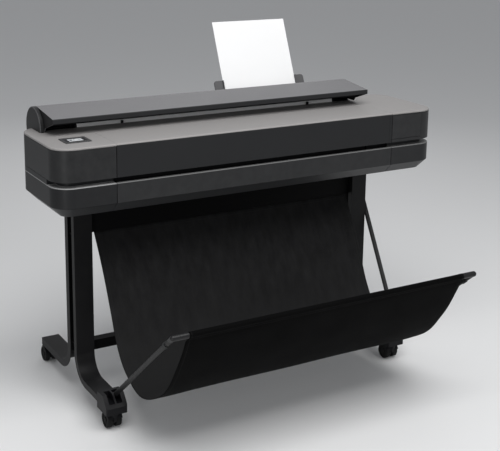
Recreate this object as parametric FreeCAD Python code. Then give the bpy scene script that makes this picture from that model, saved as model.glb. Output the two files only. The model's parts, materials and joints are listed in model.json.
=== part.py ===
"""Wide roll-fed plotter on a wheeled stand with a fabric catch bin.

Millimetres. X runs along the cabinet, +X to the right as seen from the front.
Y runs from front to rear and Z is up from the floor. While the pieces are made,
Y = 0 is a plane just ahead of the rear leg channels; every piece is moved along Y at
the end, so that the origin lies on the floor under the middle of the whole machine.
"""
import FreeCAD, Part
import math
import os

from FreeCAD import Vector

# ---- Cabinet -------------------------------------------------------------------------
media_width = 914.4           # 36 inch roll: the whole machine is as wide as this asks
cabinet_front = -262.0
cabinet_depth = 307.0
cabinet_base = 647.0          # underside above the floor: the stand's height
cabinet_height = 201.0
corner_radius = 58.0          # rounded corners seen from above
bottom_chamfer = 30.0
wall = 3.0                    # moulded covers
top_thickness = 6.0           # top plate
top_edge_radius = 4.0
shadow_gap = 1.5              # between the top plate and the walls under it
skirt_depth = 6.0             # rim of the top plate inside the walls
end_width = 178.5             # end covers, outside the vertical seams
front_seam = 2.0
hairline = 0.5                # seam round a door, lid or opening
part_gap = 0.3                # between pieces that are fixed to each other
running_gap = 0.05            # between a pin or shaft and its bore
slot_low = 88.0               # paper slot above the cabinet's underside
slot_height = 16.0
slot_depth = 25.0
slot_lip_radius = 2.5
side_slot_length = 75.0       # how far the slot runs back along each side
side_seam = 1.0
lid_depth = 156.0             # front face to hinge line
lid_pin_radius = 1.5
lid_pin_reach = 12.0          # pin's length in the lid, and again in the top plate
lid_lip = 12.0                # turned-in lower edge of the lid
rib_thickness = 2.5
rib_depth = 12.0              # lid's ribs, under its top
rib_end_depth = 8.0
rib_knee = 30.0               # behind the lid's front
rib_end = 6.0                 # ahead of the hinge line

# ---- Ink door ------------------------------------------------------------------------
door_inset = 61.5             # right edge, in from the cabinet's right side
door_thickness = 4.0
door_low = 10.0               # lower edge above the slot's upper edge
door_high = 2.0               # upper edge below the walls' upper edge
door_pin_radius = 1.0
door_pin_reach = 8.0
door_jamb = 12.0
grip_half_width = 14.0
grip_setback = 2.5
grip_depth = 5.5
grip_drop = 1.0               # grip below the door's upper edge
grip_height = 3.0

# ---- Roll housing --------------------------------------------------------------------
hump_inset_rear = 23.0        # axis of the round housing, in from the cabinet's rear
hump_rise = 4.0               # that axis above the top plate
hump_radius = 63.0
hump_inset_left = 48.5
hump_inset_right = 171.5
hump_wall = 3.0
hump_lip_reach = 135.0        # front edge of the flat lid ahead of the axis
hump_lip_rise = 52.0          # that edge above the top plate
hump_lip_height = 14.0
hump_clearance = 0.5
hump_swing = 1.5              # room round the turning cover
hump_edge_radius = 2.5
hump_knee_ahead = 6.0         # kink in the ends' lower edge, ahead of the round
hump_knee_rise = 10.0
deck_reach = 34.0             # rear edge of the top plate ahead of the axis
trough_wall = 2.5
trough_step = 5.0             # behind the top plate's rear edge
end_cap_thickness = 11.0
end_cap_edge_radius = 3.0
right_block_radius = 14.0
right_block_thickness = 8.0
pivot_radius = 4.0
pivot_boss_radius = 10.0
pivot_reach = 5.0             # cover's pins inside the end cap and the block
roll_setback = 4.0            # roll axis behind the housing's axis
roll_drop = 3.0               # roll axis under the top plate
roll_radius = 36.0
roll_core_radius = 25.4
roll_margin_left = 112.0      # between the housing's left end and the roll
roll_margin_right = 70.6
spindle_radius = 6.0
hub_flange_radius = 36.5
hub_flange = 7.0
hub_spigot = 40.0
hub_collar_radius = 14.0
web_slot_low = 26.0           # paper's way out of the trough, below the axis
web_slot_height = 7.0
web_slot_margin = 5.0         # past the paper at each side

# ---- Sheet feeder --------------------------------------------------------------------
sheet_lean = 22.7             # degrees back from upright
sheet_offset = 66.0           # sheet's plane behind the round housing's axis
sheet_width = 279.4           # tabloid sheet
sheet_length = 431.8
sheet_thickness = 0.5
sheet_inset = 272.0           # sheet's middle, in from the right seam
sheet_above_deck = 283.8      # sheet above the level of the top plate, along its plane
tray_half_width = 200.0
tray_above_deck = 45.0
tray_thickness = 3.0
tray_foot = 4.0
tray_rib = 5.0
tray_rib_count = 5
tray_rib_share = 0.6          # ribs' lower end, of the way down the tray
tray_ear = 9.0                # tabs that rest on the rear wall beside the opening
tray_ear_height = 60.0
tray_cutout = 58.0            # lower edge of the rear wall's opening above the underside
cheek_depth = 12.0
cheek_top = 60.0              # upper end of the side cheeks below the top plate's level
guide_width = 34.0
guide_low = 12.0
guide_high = 83.0
guide_thickness = 2.5
guide_corner = 9.0
guide_fence = 8.0

# ---- Stand ---------------------------------------------------------------------------
leg_offset = 26.0             # middle of each leg outside the seam
leg_width = 58.0
channel_wall = 2.0
front_web_y = -60.0
front_flange = 20.0
rear_web_y = 16.0
rear_flange = 24.0
foot_top = 88.0
foot_bend = 64.0
rear_foot_end = 258.0
head_plate = 4.0
head_overhang = 7.0
head_reach_front = 80.0       # front head plate ahead of its web
head_reach_rear = 24.0        # rear head plate behind its web
beam_drop = 7.0               # upper beam below the cabinet
beam_height = 113.0
beam_wall = 1.5
brace_low = 147.0
brace_height = 31.0
tie_overhang = 25.0           # beam and brace, past the middle of each leg
bolt_radius = 4.0
bolt_head_radius = 7.0
bolt_head = 4.5
bolt_head_edge = 2.0
bolt_end = 4.0                # bolts' ends above the chassis floor
bolt_inset = 30.0             # beam's bolts, in from its lower and upper edges
bolt_tip_gap = 8.0            # beam's bolts end short of its front wall
head_bolt_front = 55.0        # head plates' bolts: ahead of the front web
head_bolt_rear = 10.0         # and behind the rear web

# ---- Casters and front brackets ------------------------------------------------------
wheel_radius = 25.0
wheel_width = 17.0
wheel_pair_gap = 11.0
wheel_edge = 3.0
wheel_dish_outer = 18.0       # radii of the dished face
wheel_dish_inner = 8.0
wheel_dish_depth = 3.0
axle_radius = 3.0
fork_gap = 0.6                # between the fork's web and the wheels
fork_boss_radius = 10.0
fork_boss_low = 14.0          # boss and hood begin above the axle
fork_web_inset = 7.0
fork_web_reach = 8.0          # web ahead of the stem
hood_low = 8.0
hood_reach = 12.0             # hood behind the axle
fender_gap = 1.2
fender_wall = 2.2
stem_radius = 5.5
stem_length = 20.0
stem_end_gap = 0.5
front_stem_y = -278.0
rear_stem_y = 236.0
front_trail = 20.0            # wheels behind the stem
rear_trail = 32.0
seat_gap = 0.4                # between a fork and the foot it turns under
bracket_seat = 4.0            # front bracket above the wheels
bracket_half_width = 33.0
bracket_ahead = 22.0          # bracket's front end ahead of the stem
bracket_behind = 51.0
bracket_rise = 19.0           # bracket's top above the foot's top
bracket_nose = 26.0           # how much lower the front of the bracket is
bracket_corner = 6.0
tongue_length = 28.0          # part of the bracket inside the leg's channel
arm_slot_width = 18.0
arm_slot_end = 6.0            # slot's rear end behind the arm's eye
arm_slot_depth = 4.0          # slot's bottom under the arm's eye
arm_pin_reach = 3.0
arm_slot_offset = 11.5        # slots lie this far each side of the leg's middle
stay_radius = 7.5
stay_wall = 1.5
stay_plug = 20.0
stay_pin_radius = 4.5
stay_insert = 12.0            # plug's length inside the tube
stay_eye_inset = 4.0
stay_top_ahead = 2.0          # tube's top end: ahead of the rear column
stay_top_rise = 9.0           # and above the beam's lower edge
stay_foot_behind = 24.2       # tube's foot: behind the arm's pivot
stay_foot_rise = 24.0         # and above it

# ---- Bin -----------------------------------------------------------------------------
pivot_behind = 20.0           # arm's pivot behind the front caster's stem
pivot_rise = 8.0              # and above the foot's top
bar_y = -655.0
bar_z = 425.0
arm_radius = 7.5
arm_splay = 7.5               # how much wider the arms stand at the bar than at the feet
arm_collar = 2.0
collar_length = 15.0
bar_radius = 7.0
bar_wall = 1.5
bar_end = 6.0                 # bar's end short of the elbow's middle
elbow_wall = 1.6
elbow_length = 43.0           # along the bar
elbow_shank = 44.0            # along the arm
trough_y = -335.0             # lowest point of the hanging fabric
trough_z = 113.0
fabric_thickness = 3.0
fabric_inset = 40.0           # fabric's edge, in from the elbow's middle
fabric_beam_gap = 1.0         # fabric's upper edge under the beam
fabric_beam_inset = 3.0       # and behind the beam's front
fabric_bar_gap = 2.5          # fabric's front edge below the elbows
fabric_bar_angle = 22.0       # degrees behind straight down
fabric_bend = 0.45            # share of a straight run that a bend takes at each end
# Bends of the hanging fabric, as shares of its depth and of its fall or rise.
fabric_fall = [(0.21, 0.25), (0.39, 0.51), (0.51, 0.73), (0.70, 0.90)]
fabric_rise = [(0.29, 0.07), (0.59, 0.27), (0.815, 0.59), (0.967, 0.905)]

# ---- Inside the cabinet --------------------------------------------------------------
plate_offset = 31.0           # inner face of each chassis side plate outside the seam
plate_wall = 2.0
plate_head_gap = 6.0          # side plates under the top plate
plate_setback = 20.0          # side plates behind the chassis floor's front edge
chassis_front_inset = 22.0
chassis_rear_inset = 7.0
chassis_head_drop = 20.0      # under the roll housing, below its axis
chassis_swing_start = 9.0
window_setback = 60.0         # opening in the left side plate
window_depth = 42.0
window_drop = 20.0            # below the paper
window_rise = 60.0            # above the paper
paper_level = 95.0            # paper above the cabinet's underside
feed_depth = 144.0            # feed roller behind the cabinet's front
feed_radius = 12.0
feed_shaft_radius = 5.0
roller_core_radius = 8.0
roller_end_gap = 2.0
roller_overrun = 30.0         # past the paper's right edge
feed_shaft_reach = 6.0        # past each side plate
pinch_radius = 6.0
pinch_shaft_radius = 2.5
pinch_shaft_reach = 3.0
sleeve_count = 8
sleeve_share = 0.62           # of the pitch that a roller's sleeve covers
paper_gap = 0.4
platen_thickness = 5.0
platen_drop = 1.0             # deck under the paper
platen_gap = 6.0              # ahead of the feed roller
platen_inset = 6.0            # in from the left side plate
platen_rib_pitch = 30.0
platen_rib = 2.0
rod_radius = 6.0
rod_ahead = 10.0              # carriage rod ahead of the feed roller
rod_rise = 155.0              # and above the cabinet's underside
carriage_inset = 61.0         # parked carriage's middle, in from the right side plate
carriage_width = 90.0
carriage_clearance = 4.0      # carriage above the paper
carriage_setback = 34.0       # behind the cabinet's front
carriage_rear_gap = 12.0      # ahead of the belt's middle
carriage_rise = 10.0          # above the rod
carriage_block = 11.0         # solid block ahead of the rod
carriage_roller_gap = 1.5     # round the pinch rollers
nozzle_inset = 8.0
nozzle_height = 12.0
nozzle_drop = 4.0             # nozzle block below the body
nozzle_front = 16.0           # behind the carriage's front
nozzle_rear = 24.0            # ahead of the rod
pen_count = 4
pen_gap = 2.0
pen_front = 6.0
pen_rear = 16.0
pen_rise = 14.0
clip_half_width = 12.0
clip_height = 6.0
station_gap = 6.0             # between the platen and the parking place
station_inset = 14.0
station_well = 30.0
pad_width = 30.0
pad_spacing = 38.0
pad_setback = 20.0
pad_rise = 2.0
wiper_thickness = 1.5
wiper_inset = 15.0
wiper_setback = 9.0
wiper_rise = 3.0
belt_behind = 22.0            # belt behind the carriage rod
belt_rise = 159.0
belt_width = 8.0
belt_thickness = 1.5
belt_gap = 0.3
pulley_radius = 7.7
pulley_bore_radius = 3.0
pulley_rim = 0.5
motor_inset = 45.0            # motor pulley, in from the right side plate
idler_inset = 21.0
motor_radius = 17.0
motor_length = 34.0
motor_shaft_gap = 0.6         # round its shaft, in the cross wall
cross_wall_behind = 10.0      # cross wall behind the belt
feed_motor_radius = 19.0
feed_motor_length = 42.0
feed_motor_behind = 45.0      # behind the feed roller
saddle_share = 0.78           # outer saddles, of the way to the side plates
saddle_front = 60.0           # ahead of the roll housing's axis
saddle_rear = 6.0
saddle_thickness = 2.0
shelf_rise = 114.0            # ink shelf above the cabinet's underside
shelf_setback = 12.0
shelf_depth = 100.0
shelf_overhang = 3.0          # past the ink door
ink_count = 4
ink_margin = 6.0              # between the side plate and the first cartridge
ink_gap = 2.0
ink_setback = 14.0
ink_length = 90.0
ink_head_gap = 14.7           # under the top plate
ink_corner = 2.5
board_standoff = 12.0
board_thickness = 1.6
board_height = 104.0
board_low = 20.0              # above the chassis floor
board_rear_inset = 11.0       # ahead of the cabinet's rear
board_motor_gap = 8.0         # behind the feed motor
board_post_radius = 3.0
board_post_inset = 9.0
chip_size = 20.0
chip_height = 4.4
chip_places = [(0.18, 0.29), (0.50, 0.38), (0.65, 0.69)]   # shares of the board
supply_width = 85.0
supply_depth = 75.0
supply_height = 48.0
supply_inset = 11.0           # in from the left side plate
supply_rear_inset = 65.0      # ahead of the cabinet's rear

# ---- Controls ------------------------------------------------------------------------
display_shift = 3.75          # middle of the display, right of the left end's middle
display_setback = 91.0        # and behind its front
display_width = 77.0
display_depth = 62.0
display_rim = 3.0
display_lift = 0.2
display_rise = 2.0
display_body = 14.0           # below the top plate's surface
glass_width = 62.0
glass_depth = 44.0
glass_thickness = 2.2
glass_sink = 0.5
inlet_inset = 53.0            # in from the left seam
inlet_rise = 45.0
inlet_half_width = 14.0       # opening in the rear wall
inlet_half_height = 10.0
inlet_flange = 6.0
inlet_rim = 4.0
inlet_wall = 2.0
inlet_depth = 24.0
inlet_cavity = 17.0
prong_half_width = 1.0
prong_half_height = 2.0
prong_spacing = 7.0
prong_drop = 1.5
prong_lift = 2.5
panel_gap = 0.2
flange_thickness = 2.5
switch_spacing = 42.0
switch_half_width = 10.5
switch_half_height = 15.0
switch_rim = 2.0
switch_body = 18.0
switch_pivot_inset = 4.0      # ahead of the cabinet's rear
rocker_reach = 5.5
rocker_back = 6.0
rocker_radius = 12.5
rocker_width = 16.0
rocker_tilt = 8.0
rocker_pin_radius = 2.0

# ---- Values that follow ----------------------------------------------------------------
cabinet_width = (hump_inset_left + roll_margin_left + media_width + roll_margin_right
                 + hump_inset_right)
half_width = cabinet_width / 2
far = 2 * cabinet_width       # beyond the whole machine, for cutting
cabinet_rear = cabinet_front + cabinet_depth
cabinet_top = cabinet_base + cabinet_height
plate_low = cabinet_top - top_thickness
wall_top = plate_low - shadow_gap
slot_bottom = cabinet_base + slot_low
slot_top = slot_bottom + slot_height
side_slot_end = cabinet_front + side_slot_length
seam_x = half_width - end_width
centre_half = seam_x - front_seam / 2
end_inner = seam_x + front_seam / 2
cover_split = cabinet_front + 113.0   # rear edge of the lower front cover
inner_chamfer = bottom_chamfer - wall * (2 - math.sqrt(2))
floor_front = cabinet_front + bottom_chamfer + wall + 1
hinge_y = cabinet_front + lid_depth
hinge_z = cabinet_top - top_thickness / 2
door_left = end_inner
door_right = half_width - door_inset
door_z0 = slot_top + door_low
door_z1 = wall_top - door_high
door_pivot_y = cabinet_front + door_thickness / 2
door_pivot_z = door_z0 + door_thickness / 2
hump_y = cabinet_rear - hump_inset_rear
hump_z = cabinet_top + hump_rise
hump_left = hump_inset_left - half_width
hump_right = half_width - hump_inset_right
hump_lip_y = hump_y - hump_lip_reach
lip_z = cabinet_top + hump_lip_rise
deck_rear = hump_y - deck_reach
trough_outer = hump_radius - hump_wall - hump_clearance
trough_inner = trough_outer - trough_wall
trough_left = hump_left + hump_wall + hairline
trough_right = hump_right - hump_wall - hairline
roll_y = hump_y + roll_setback
roll_z = cabinet_top - roll_drop
roll_left = hump_left + roll_margin_left
roll_right = roll_left + media_width
lean = math.radians(sheet_lean)
sheet_low = sheet_above_deck - sheet_length
tray_low = sheet_low - tray_foot
tray_front = 2 * sheet_thickness
sheet_centre = centre_half - sheet_inset
tray_x0 = sheet_centre - tray_half_width
tray_x1 = sheet_centre + tray_half_width
leg_x = seam_x + leg_offset
column_head = cabinet_base - head_plate
gap_front = front_web_y + front_flange
gap_rear = rear_web_y - rear_flange
head_middle = (gap_front + gap_rear) / 2
beam_high = cabinet_base - beam_drop
beam_low = beam_high - beam_height
brace_high = brace_low + brace_height
tie_half_length = leg_x + tie_overhang
tie_bolt_z = ((brace_low + brace_high) / 2, beam_low + bolt_inset, beam_high - bolt_inset)
tie_bolt_length = rear_web_y - gap_front - part_gap - bolt_tip_gap
head_bolt_y = (front_web_y - head_bolt_front, rear_web_y + head_bolt_rear)
pair_half = wheel_pair_gap / 2 + wheel_width
bracket_low = 2 * wheel_radius + bracket_seat
bracket_high = foot_top + bracket_rise
bracket_front = front_stem_y - bracket_ahead
bracket_rear = front_stem_y + bracket_behind
bracket_x0 = leg_x - bracket_half_width
bracket_x1 = leg_x + bracket_half_width
rear_seat = foot_top - rear_flange
arm_x = leg_x - arm_slot_offset
pivot_y = front_stem_y + pivot_behind
pivot_z = foot_top + pivot_rise
elbow_radius = bar_radius + elbow_wall
elbow_x = arm_x + arm_splay
fabric_half_width = elbow_x - fabric_inset
paper_z = cabinet_base + paper_level
feed_y = cabinet_front + feed_depth
feed_z = paper_z - feed_radius
pinch_z = paper_z + paper_gap + pinch_radius
rod_y = feed_y - rod_ahead
rod_z = cabinet_base + rod_rise
belt_y = rod_y + belt_behind
belt_z = cabinet_base + belt_rise
plate_x = seam_x + plate_offset
motor_x = plate_x - motor_inset
idler_x = idler_inset - plate_x
carriage_x = plate_x - carriage_inset
platen_left = platen_inset - plate_x
platen_right = carriage_x - carriage_width / 2 - platen_inset - 1
platen_rear = feed_y - feed_radius - platen_gap
cross_wall_y = belt_y + cross_wall_behind
motor_face = cross_wall_y + plate_wall
clip_top = belt_z - pulley_radius - belt_gap - belt_thickness - part_gap
chassis_low = cabinet_base + wall
chassis_floor = chassis_low + plate_wall
shelf_z = cabinet_base + shelf_rise
display_x = display_shift - (end_inner + half_width) / 2
display_y = cabinet_front + display_setback
inlet_x = inlet_inset - centre_half
inlet_z = cabinet_base + inlet_rise
switch_x = inlet_x + switch_spacing
switch_y = cabinet_rear - switch_pivot_inset


# ---- Making simple solids ------------------------------------------------------------
def box(x0, x1, y0, y1, z0, z1):
    """Block between two opposite corners."""
    low = Vector(min(x0, x1), min(y0, y1), min(z0, z1))
    return Part.makeBox(abs(x1 - x0), abs(y1 - y0), abs(z1 - z0), low)


def rod(start, end, radius):
    """Round rod between two points."""
    a, b = Vector(*start), Vector(*end)
    return Part.makeCylinder(radius, (b - a).Length, a, b - a)


def rod_x(x0, x1, y, z, radius):
    return rod((x0, y, z), (x1, y, z), radius)


def ring_x(x0, x1, y, z, outer, inner):
    return rod_x(x0, x1, y, z, outer).cut(rod_x(x0, x1, y, z, inner))


def polygon_x(x0, x1, points):
    """Straight-sided outline in the YZ plane, extruded from x0 to x1."""
    corners = [Vector(x0, y, z) for y, z in points]
    face = Part.Face(Part.makePolygon(corners + corners[:1]))
    return face.extrude(Vector(x1 - x0, 0, 0))


def edges_x(x0, x1, edges):
    """Closed outline of ready-made edges at x = 0, extruded from x0 to x1."""
    face = Part.Face(Part.Wire(Part.__sortEdges__(edges)))
    face.translate(Vector(x0, 0, 0))
    return face.extrude(Vector(x1 - x0, 0, 0))


def join(first, *others):
    return first.fuse(list(others)).removeSplitter()


def mirrored(shape):
    """The same piece on the other side of the machine."""
    return shape.mirror(Vector(0, 0, 0), Vector(1, 0, 0))


def solids(*shapes):
    """One group holding every solid of the given shapes."""
    return Part.makeCompound([s for shape in shapes for s in shape.Solids])


def select_edges(shape, test):
    return [edge for edge in shape.Edges if test(edge)]


# ---- Cabinet covers ------------------------------------------------------------------
def plan(inset, z0, z1):
    """Cabinet's rounded outline seen from above, moved in by inset, as a block."""
    x = half_width - inset
    block = box(-x, x, cabinet_front + inset, cabinet_rear - inset, z0, z1)
    upright = select_edges(block, lambda e: abs(e.BoundBox.ZLength - (z1 - z0)) < 0.01)
    return block.makeFillet(corner_radius - inset, upright)


def chamfered(block, z, size):
    flat = select_edges(block, lambda e: e.BoundBox.ZMax < z + 0.01)
    return block.makeChamfer(size, flat)


def rounded(block, z, radius):
    flat = select_edges(block, lambda e: e.BoundBox.ZMin > z - 0.01)
    return block.makeFillet(radius, flat)


def lower_shell(top, lip):
    """Cabinet's lower walls and bottom, with the chamfer; lip rounds the top edge."""
    outer = chamfered(plan(0, cabinet_base, top), cabinet_base, bottom_chamfer)
    if lip:
        outer = rounded(outer, top, slot_lip_radius)
    floor = cabinet_base + wall
    inner = chamfered(plan(wall, floor, top + 1), floor, inner_chamfer)
    if lip:
        inner = inner.cut(box(-half_width, half_width, cabinet_front, cabinet_rear,
                              top - wall, top + 1))
    return outer.cut(inner)


def band(inner_inset, z0, z1):
    """Flat ring that follows the cabinet's outline."""
    return plan(0, z0, z1).cut(plan(inner_inset, z0 - 1, z1 + 1))


def hump_space(radius):
    """Room that the turning roll cover needs."""
    return rod_x(hump_left - 1, hump_right + 1, hump_y, hump_z, radius)


front_zone = box(-far, far, -far, side_slot_end, 0, far)
rear_zone = box(-far, far, side_slot_end, far, 0, far)
right_end = box(end_inner, far, -far, far, 0, far)
lower_cup = lower_shell(slot_bottom, True).common(
    plan(slot_depth, 0, far).cut(box(-far, far, -far, far, slot_bottom - wall - 0.01, far))
    .fuse(band(slot_depth, cabinet_base, slot_bottom)))


def lower_end():
    """Lower end cover: wraps the corner, and its rear half rises to the side seam."""
    front = lower_cup.common(front_zone)
    rear = lower_shell(slot_top - side_seam, False).common(rear_zone)
    groove = plan(slot_depth, slot_bottom - wall, slot_top - side_seam)
    groove = groove.cut(plan(slot_depth + wall, 0, far)).common(front_zone)
    stop = box(half_width - slot_depth - wall, half_width - 1, side_slot_end,
               side_slot_end + wall, slot_bottom - wall, slot_top - side_seam)
    return join(front, rear, groove, stop).common(right_end)


def upper_end():
    """Upper end cover: wall above the slot, with the slot's ceiling turned inwards."""
    walls = band(wall, slot_top, wall_top)
    ceiling = band(slot_depth + wall, slot_top, slot_top + wall).common(front_zone)
    return join(walls, ceiling).common(right_end).cut(hump_space(hump_radius + hump_swing))


def ink_door():
    """Drop-down door; its lower edge is round about the hinge line."""
    x0, x1 = door_left, door_right
    slab = box(x0, x1, cabinet_front, cabinet_front + door_thickness, door_pivot_z, door_z1)
    nose = rod_x(x0, x1, door_pivot_y, door_pivot_z, door_thickness / 2)
    middle, grip_front = (x0 + x1) / 2, cabinet_front + grip_setback
    grip_top = door_z1 - grip_drop
    grip = box(middle - grip_half_width, middle + grip_half_width, grip_front,
               grip_front + grip_depth, grip_top - grip_height, grip_top)
    door = join(slab, nose, grip)
    return door.cut(rod_x(x1 - door_pin_reach - 1, x1 + 1, door_pivot_y, door_pivot_z,
                          door_pin_radius + running_gap))


def upper_end_right():
    """Right end cover with the opening for the ink door."""
    cover = upper_end()
    opening = box(0, door_right + hairline, -far,
                  cabinet_front + door_thickness + 2, door_z0 - hairline, door_z1 + hairline)
    jamb = box(door_right + hairline, door_right + door_jamb, cabinet_front + wall,
               cabinet_front + 3 * wall, slot_top, wall_top)
    pin = rod_x(door_right, door_right + door_pin_reach + 1, door_pivot_y, door_pivot_z,
                door_pin_radius)
    return join(cover.cut(opening), jamb).cut(pin)


def lower_front():
    """Middle of the lower front, between the vertical seams."""
    middle = box(-centre_half, centre_half, -far, cover_split, 0, far)
    cover = lower_shell(slot_bottom, True).common(middle)
    open_top = box(-far, far, cabinet_front + lid_lip, far, slot_bottom - wall - 1, far)
    return cover.cut(open_top)


def rear_cover():
    """Rear wall with the feeder's opening, the inlet and the switch."""
    reach = cabinet_rear - wall - hump_y
    top = hump_z - math.sqrt((hump_radius + hump_swing + hairline) ** 2 - reach ** 2)
    middle = box(-centre_half, centre_half, cover_split + front_seam, cabinet_rear + 1, 0, top)
    cover = lower_shell(slot_top - side_seam, False).common(middle)
    upper = box(-centre_half, centre_half, cabinet_rear - wall, cabinet_rear,
                slot_top - side_seam - 1, top)
    feeder = box(tray_x0 - 1, tray_x1 + 1,
                 cabinet_rear - 2 * wall, cabinet_rear + 1, cabinet_base + tray_cutout, far)
    controls = [box(x - a, x + a, cabinet_rear - 2 * wall, cabinet_rear + 1,
                    inlet_z - b, inlet_z + b)
                for x, a, b in ((inlet_x, inlet_half_width, inlet_half_height),
                                (switch_x, switch_half_width, switch_half_height))]
    return join(cover, upper).cut([feeder] + controls)


def top_cover():
    """Top plate: open for the lid in front and for the roll housing at the rear."""
    plate = rounded(plan(0, plate_low, cabinet_top), cabinet_top, top_edge_radius)
    lid_hole = box(-centre_half - hairline, centre_half + hairline, -far,
                   hinge_y + top_thickness / 2 + hairline, 0, far)
    roll_hole = box(hump_left - hairline, hump_right + hairline, deck_rear, far, 0, far)
    half_x, half_y = display_width / 2 - display_rim, display_depth / 2 - display_rim
    display = box(display_x - half_x, display_x + half_x, display_y - half_y,
                  display_y + half_y, 0, far)
    skirt = plan(wall + part_gap, wall_top - skirt_depth, plate_low + 0.5).cut(
        plan(2 * wall + part_gap, 0, far))
    middle = box(-end_inner - front_seam, end_inner + front_seam, -far, far, 0, far)
    behind_door = box(0, door_right + door_jamb + front_seam, -far,
                      cabinet_front + corner_radius - 2 * wall, 0, far)
    skirt = skirt.cut([middle, behind_door, hump_space(hump_radius + hump_swing)])
    plate = join(plate.cut([lid_hole, roll_hole, display]), skirt)
    for side in (-1, 1):
        inner = side * (centre_half + hairline)
        plate = plate.cut(rod_x(inner, inner + side * lid_pin_reach, hinge_y, hinge_z,
                                lid_pin_radius))
    return plate


def front_lid():
    """Lid: flat top and front skirt in one piece, round about its hinge line at the back."""
    x = centre_half
    top = box(-x, x, cabinet_front, hinge_y, plate_low, cabinet_top)
    front = box(-x, x, cabinet_front, cabinet_front + wall, slot_top, cabinet_top)
    body = join(top, front)
    edge = select_edges(body, lambda e: e.BoundBox.ZMin > cabinet_top - 0.01
                        and e.BoundBox.YMax < cabinet_front + 0.01)
    body = body.makeFillet(top_edge_radius, edge)
    nose = rod_x(-x, x, hinge_y, hinge_z, top_thickness / 2)
    turn_in = box(-x, x, cabinet_front, cabinet_front + lid_lip, slot_top, slot_top + wall)
    half_rib = rib_thickness / 2
    ribs = [polygon_x(rib_x - half_rib, rib_x + half_rib,
                      [(cabinet_front + 1, slot_top + 1), (cabinet_front + lid_lip, slot_top + 1),
                       (cabinet_front + rib_knee, plate_low - rib_depth),
                       (hinge_y - 2 * rib_end, plate_low - rib_end_depth),
                       (hinge_y - rib_end, plate_low + 1), (cabinet_front + 1, plate_low + 1)])
            for rib_x in (half_rib - x, -x / 3, x / 3, x - half_rib)]
    body = join(body, nose, turn_in, *ribs)
    for side in (-1, 1):
        body = body.cut(rod_x(side * (x - lid_pin_reach - 2), side * (x + 1), hinge_y, hinge_z,
                              lid_pin_radius + running_gap))
    return body


def hinge_pins():
    """Pins of the lid, at both ends, and of the ink door."""
    inner = centre_half - lid_pin_reach
    outer = centre_half + hairline + lid_pin_reach
    lid = rod_x(inner, outer, hinge_y, hinge_z, lid_pin_radius)
    door = rod_x(door_right - door_pin_reach, door_right + door_pin_reach + 1, door_pivot_y,
                 door_pivot_z, door_pin_radius)
    return solids(lid, mirrored(lid), door)


# ---- Roll housing --------------------------------------------------------------------
def tangent_point(radius, y, z):
    """Where a straight run from (y, z) touches the round of that radius, on top."""
    dy, dz = y - hump_y, z - hump_z
    angle = math.atan2(dz, dy) - math.acos(radius / math.hypot(dy, dz))
    return hump_y + radius * math.cos(angle), hump_z + radius * math.sin(angle), angle


def hump_outline(inset):
    """Flat lid, round back and front lip of the roll cover, moved in by inset."""
    radius = hump_radius - inset
    front = hump_lip_y + inset
    far_y, far_z, angle = tangent_point(hump_radius, hump_lip_y, lip_z)
    near_y, near_z = far_y - inset * math.cos(angle), far_z - inset * math.sin(angle)
    slope = (far_z - lip_z) / (far_y - hump_lip_y)
    front_z = near_z - (near_y - front) * slope
    middle = angle / 2
    points = {"lip": (front, lip_z - hump_lip_height), "front": (front, front_z),
              "touch": (near_y, near_z), "rear": (hump_y + radius, hump_z)}
    mid = (hump_y + radius * math.cos(middle), hump_z + radius * math.sin(middle))
    return points, mid


def line(a, b):
    return Part.LineSegment(Vector(0, *a), Vector(0, *b)).toShape()


def arc(a, middle, b):
    return Part.Arc(Vector(0, *a), Vector(0, *middle), Vector(0, *b)).toShape()


def roll_cover():
    """Thin cover over the roll; both ends are closed and turn on pins."""
    outer, outer_mid = hump_outline(0)
    inner, inner_mid = hump_outline(hump_wall)
    skin = edges_x(hump_left, hump_right, [
        line(outer["lip"], outer["front"]), line(outer["front"], outer["touch"]),
        arc(outer["touch"], outer_mid, outer["rear"]), line(outer["rear"], inner["rear"]),
        arc(inner["rear"], inner_mid, inner["touch"]), line(inner["touch"], inner["front"]),
        line(inner["front"], inner["lip"]), line(inner["lip"], outer["lip"])])
    heel = (hump_y - hump_radius + 2, hump_z)
    knee = (hump_y - hump_radius - hump_knee_ahead, hump_z + hump_knee_rise)
    end = [line(outer["lip"], outer["front"]), line(outer["front"], outer["touch"]),
           arc(outer["touch"], outer_mid, outer["rear"]), line(outer["rear"], heel),
           line(heel, knee), line(knee, outer["lip"])]
    cover = join(skin, edges_x(hump_left, hump_left + hump_wall, end),
                 edges_x(hump_right - hump_wall, hump_right, end),
                 rod_x(hump_left, hump_left + hump_wall, hump_y, hump_z, pivot_boss_radius),
                 rod_x(hump_right - hump_wall, hump_right, hump_y, hump_z, pivot_boss_radius))
    long_edges = select_edges(cover, lambda e: e.BoundBox.XLength > media_width
                              and e.BoundBox.YMax < hump_lip_y + 0.01
                              and e.BoundBox.ZMin > lip_z - 0.01)
    cover = cover.makeFillet(hump_edge_radius, long_edges)
    bore = rod_x(hump_left - 1, hump_right + 1, hump_y, hump_z, pivot_radius + running_gap)
    return cover.cut(bore)


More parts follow.
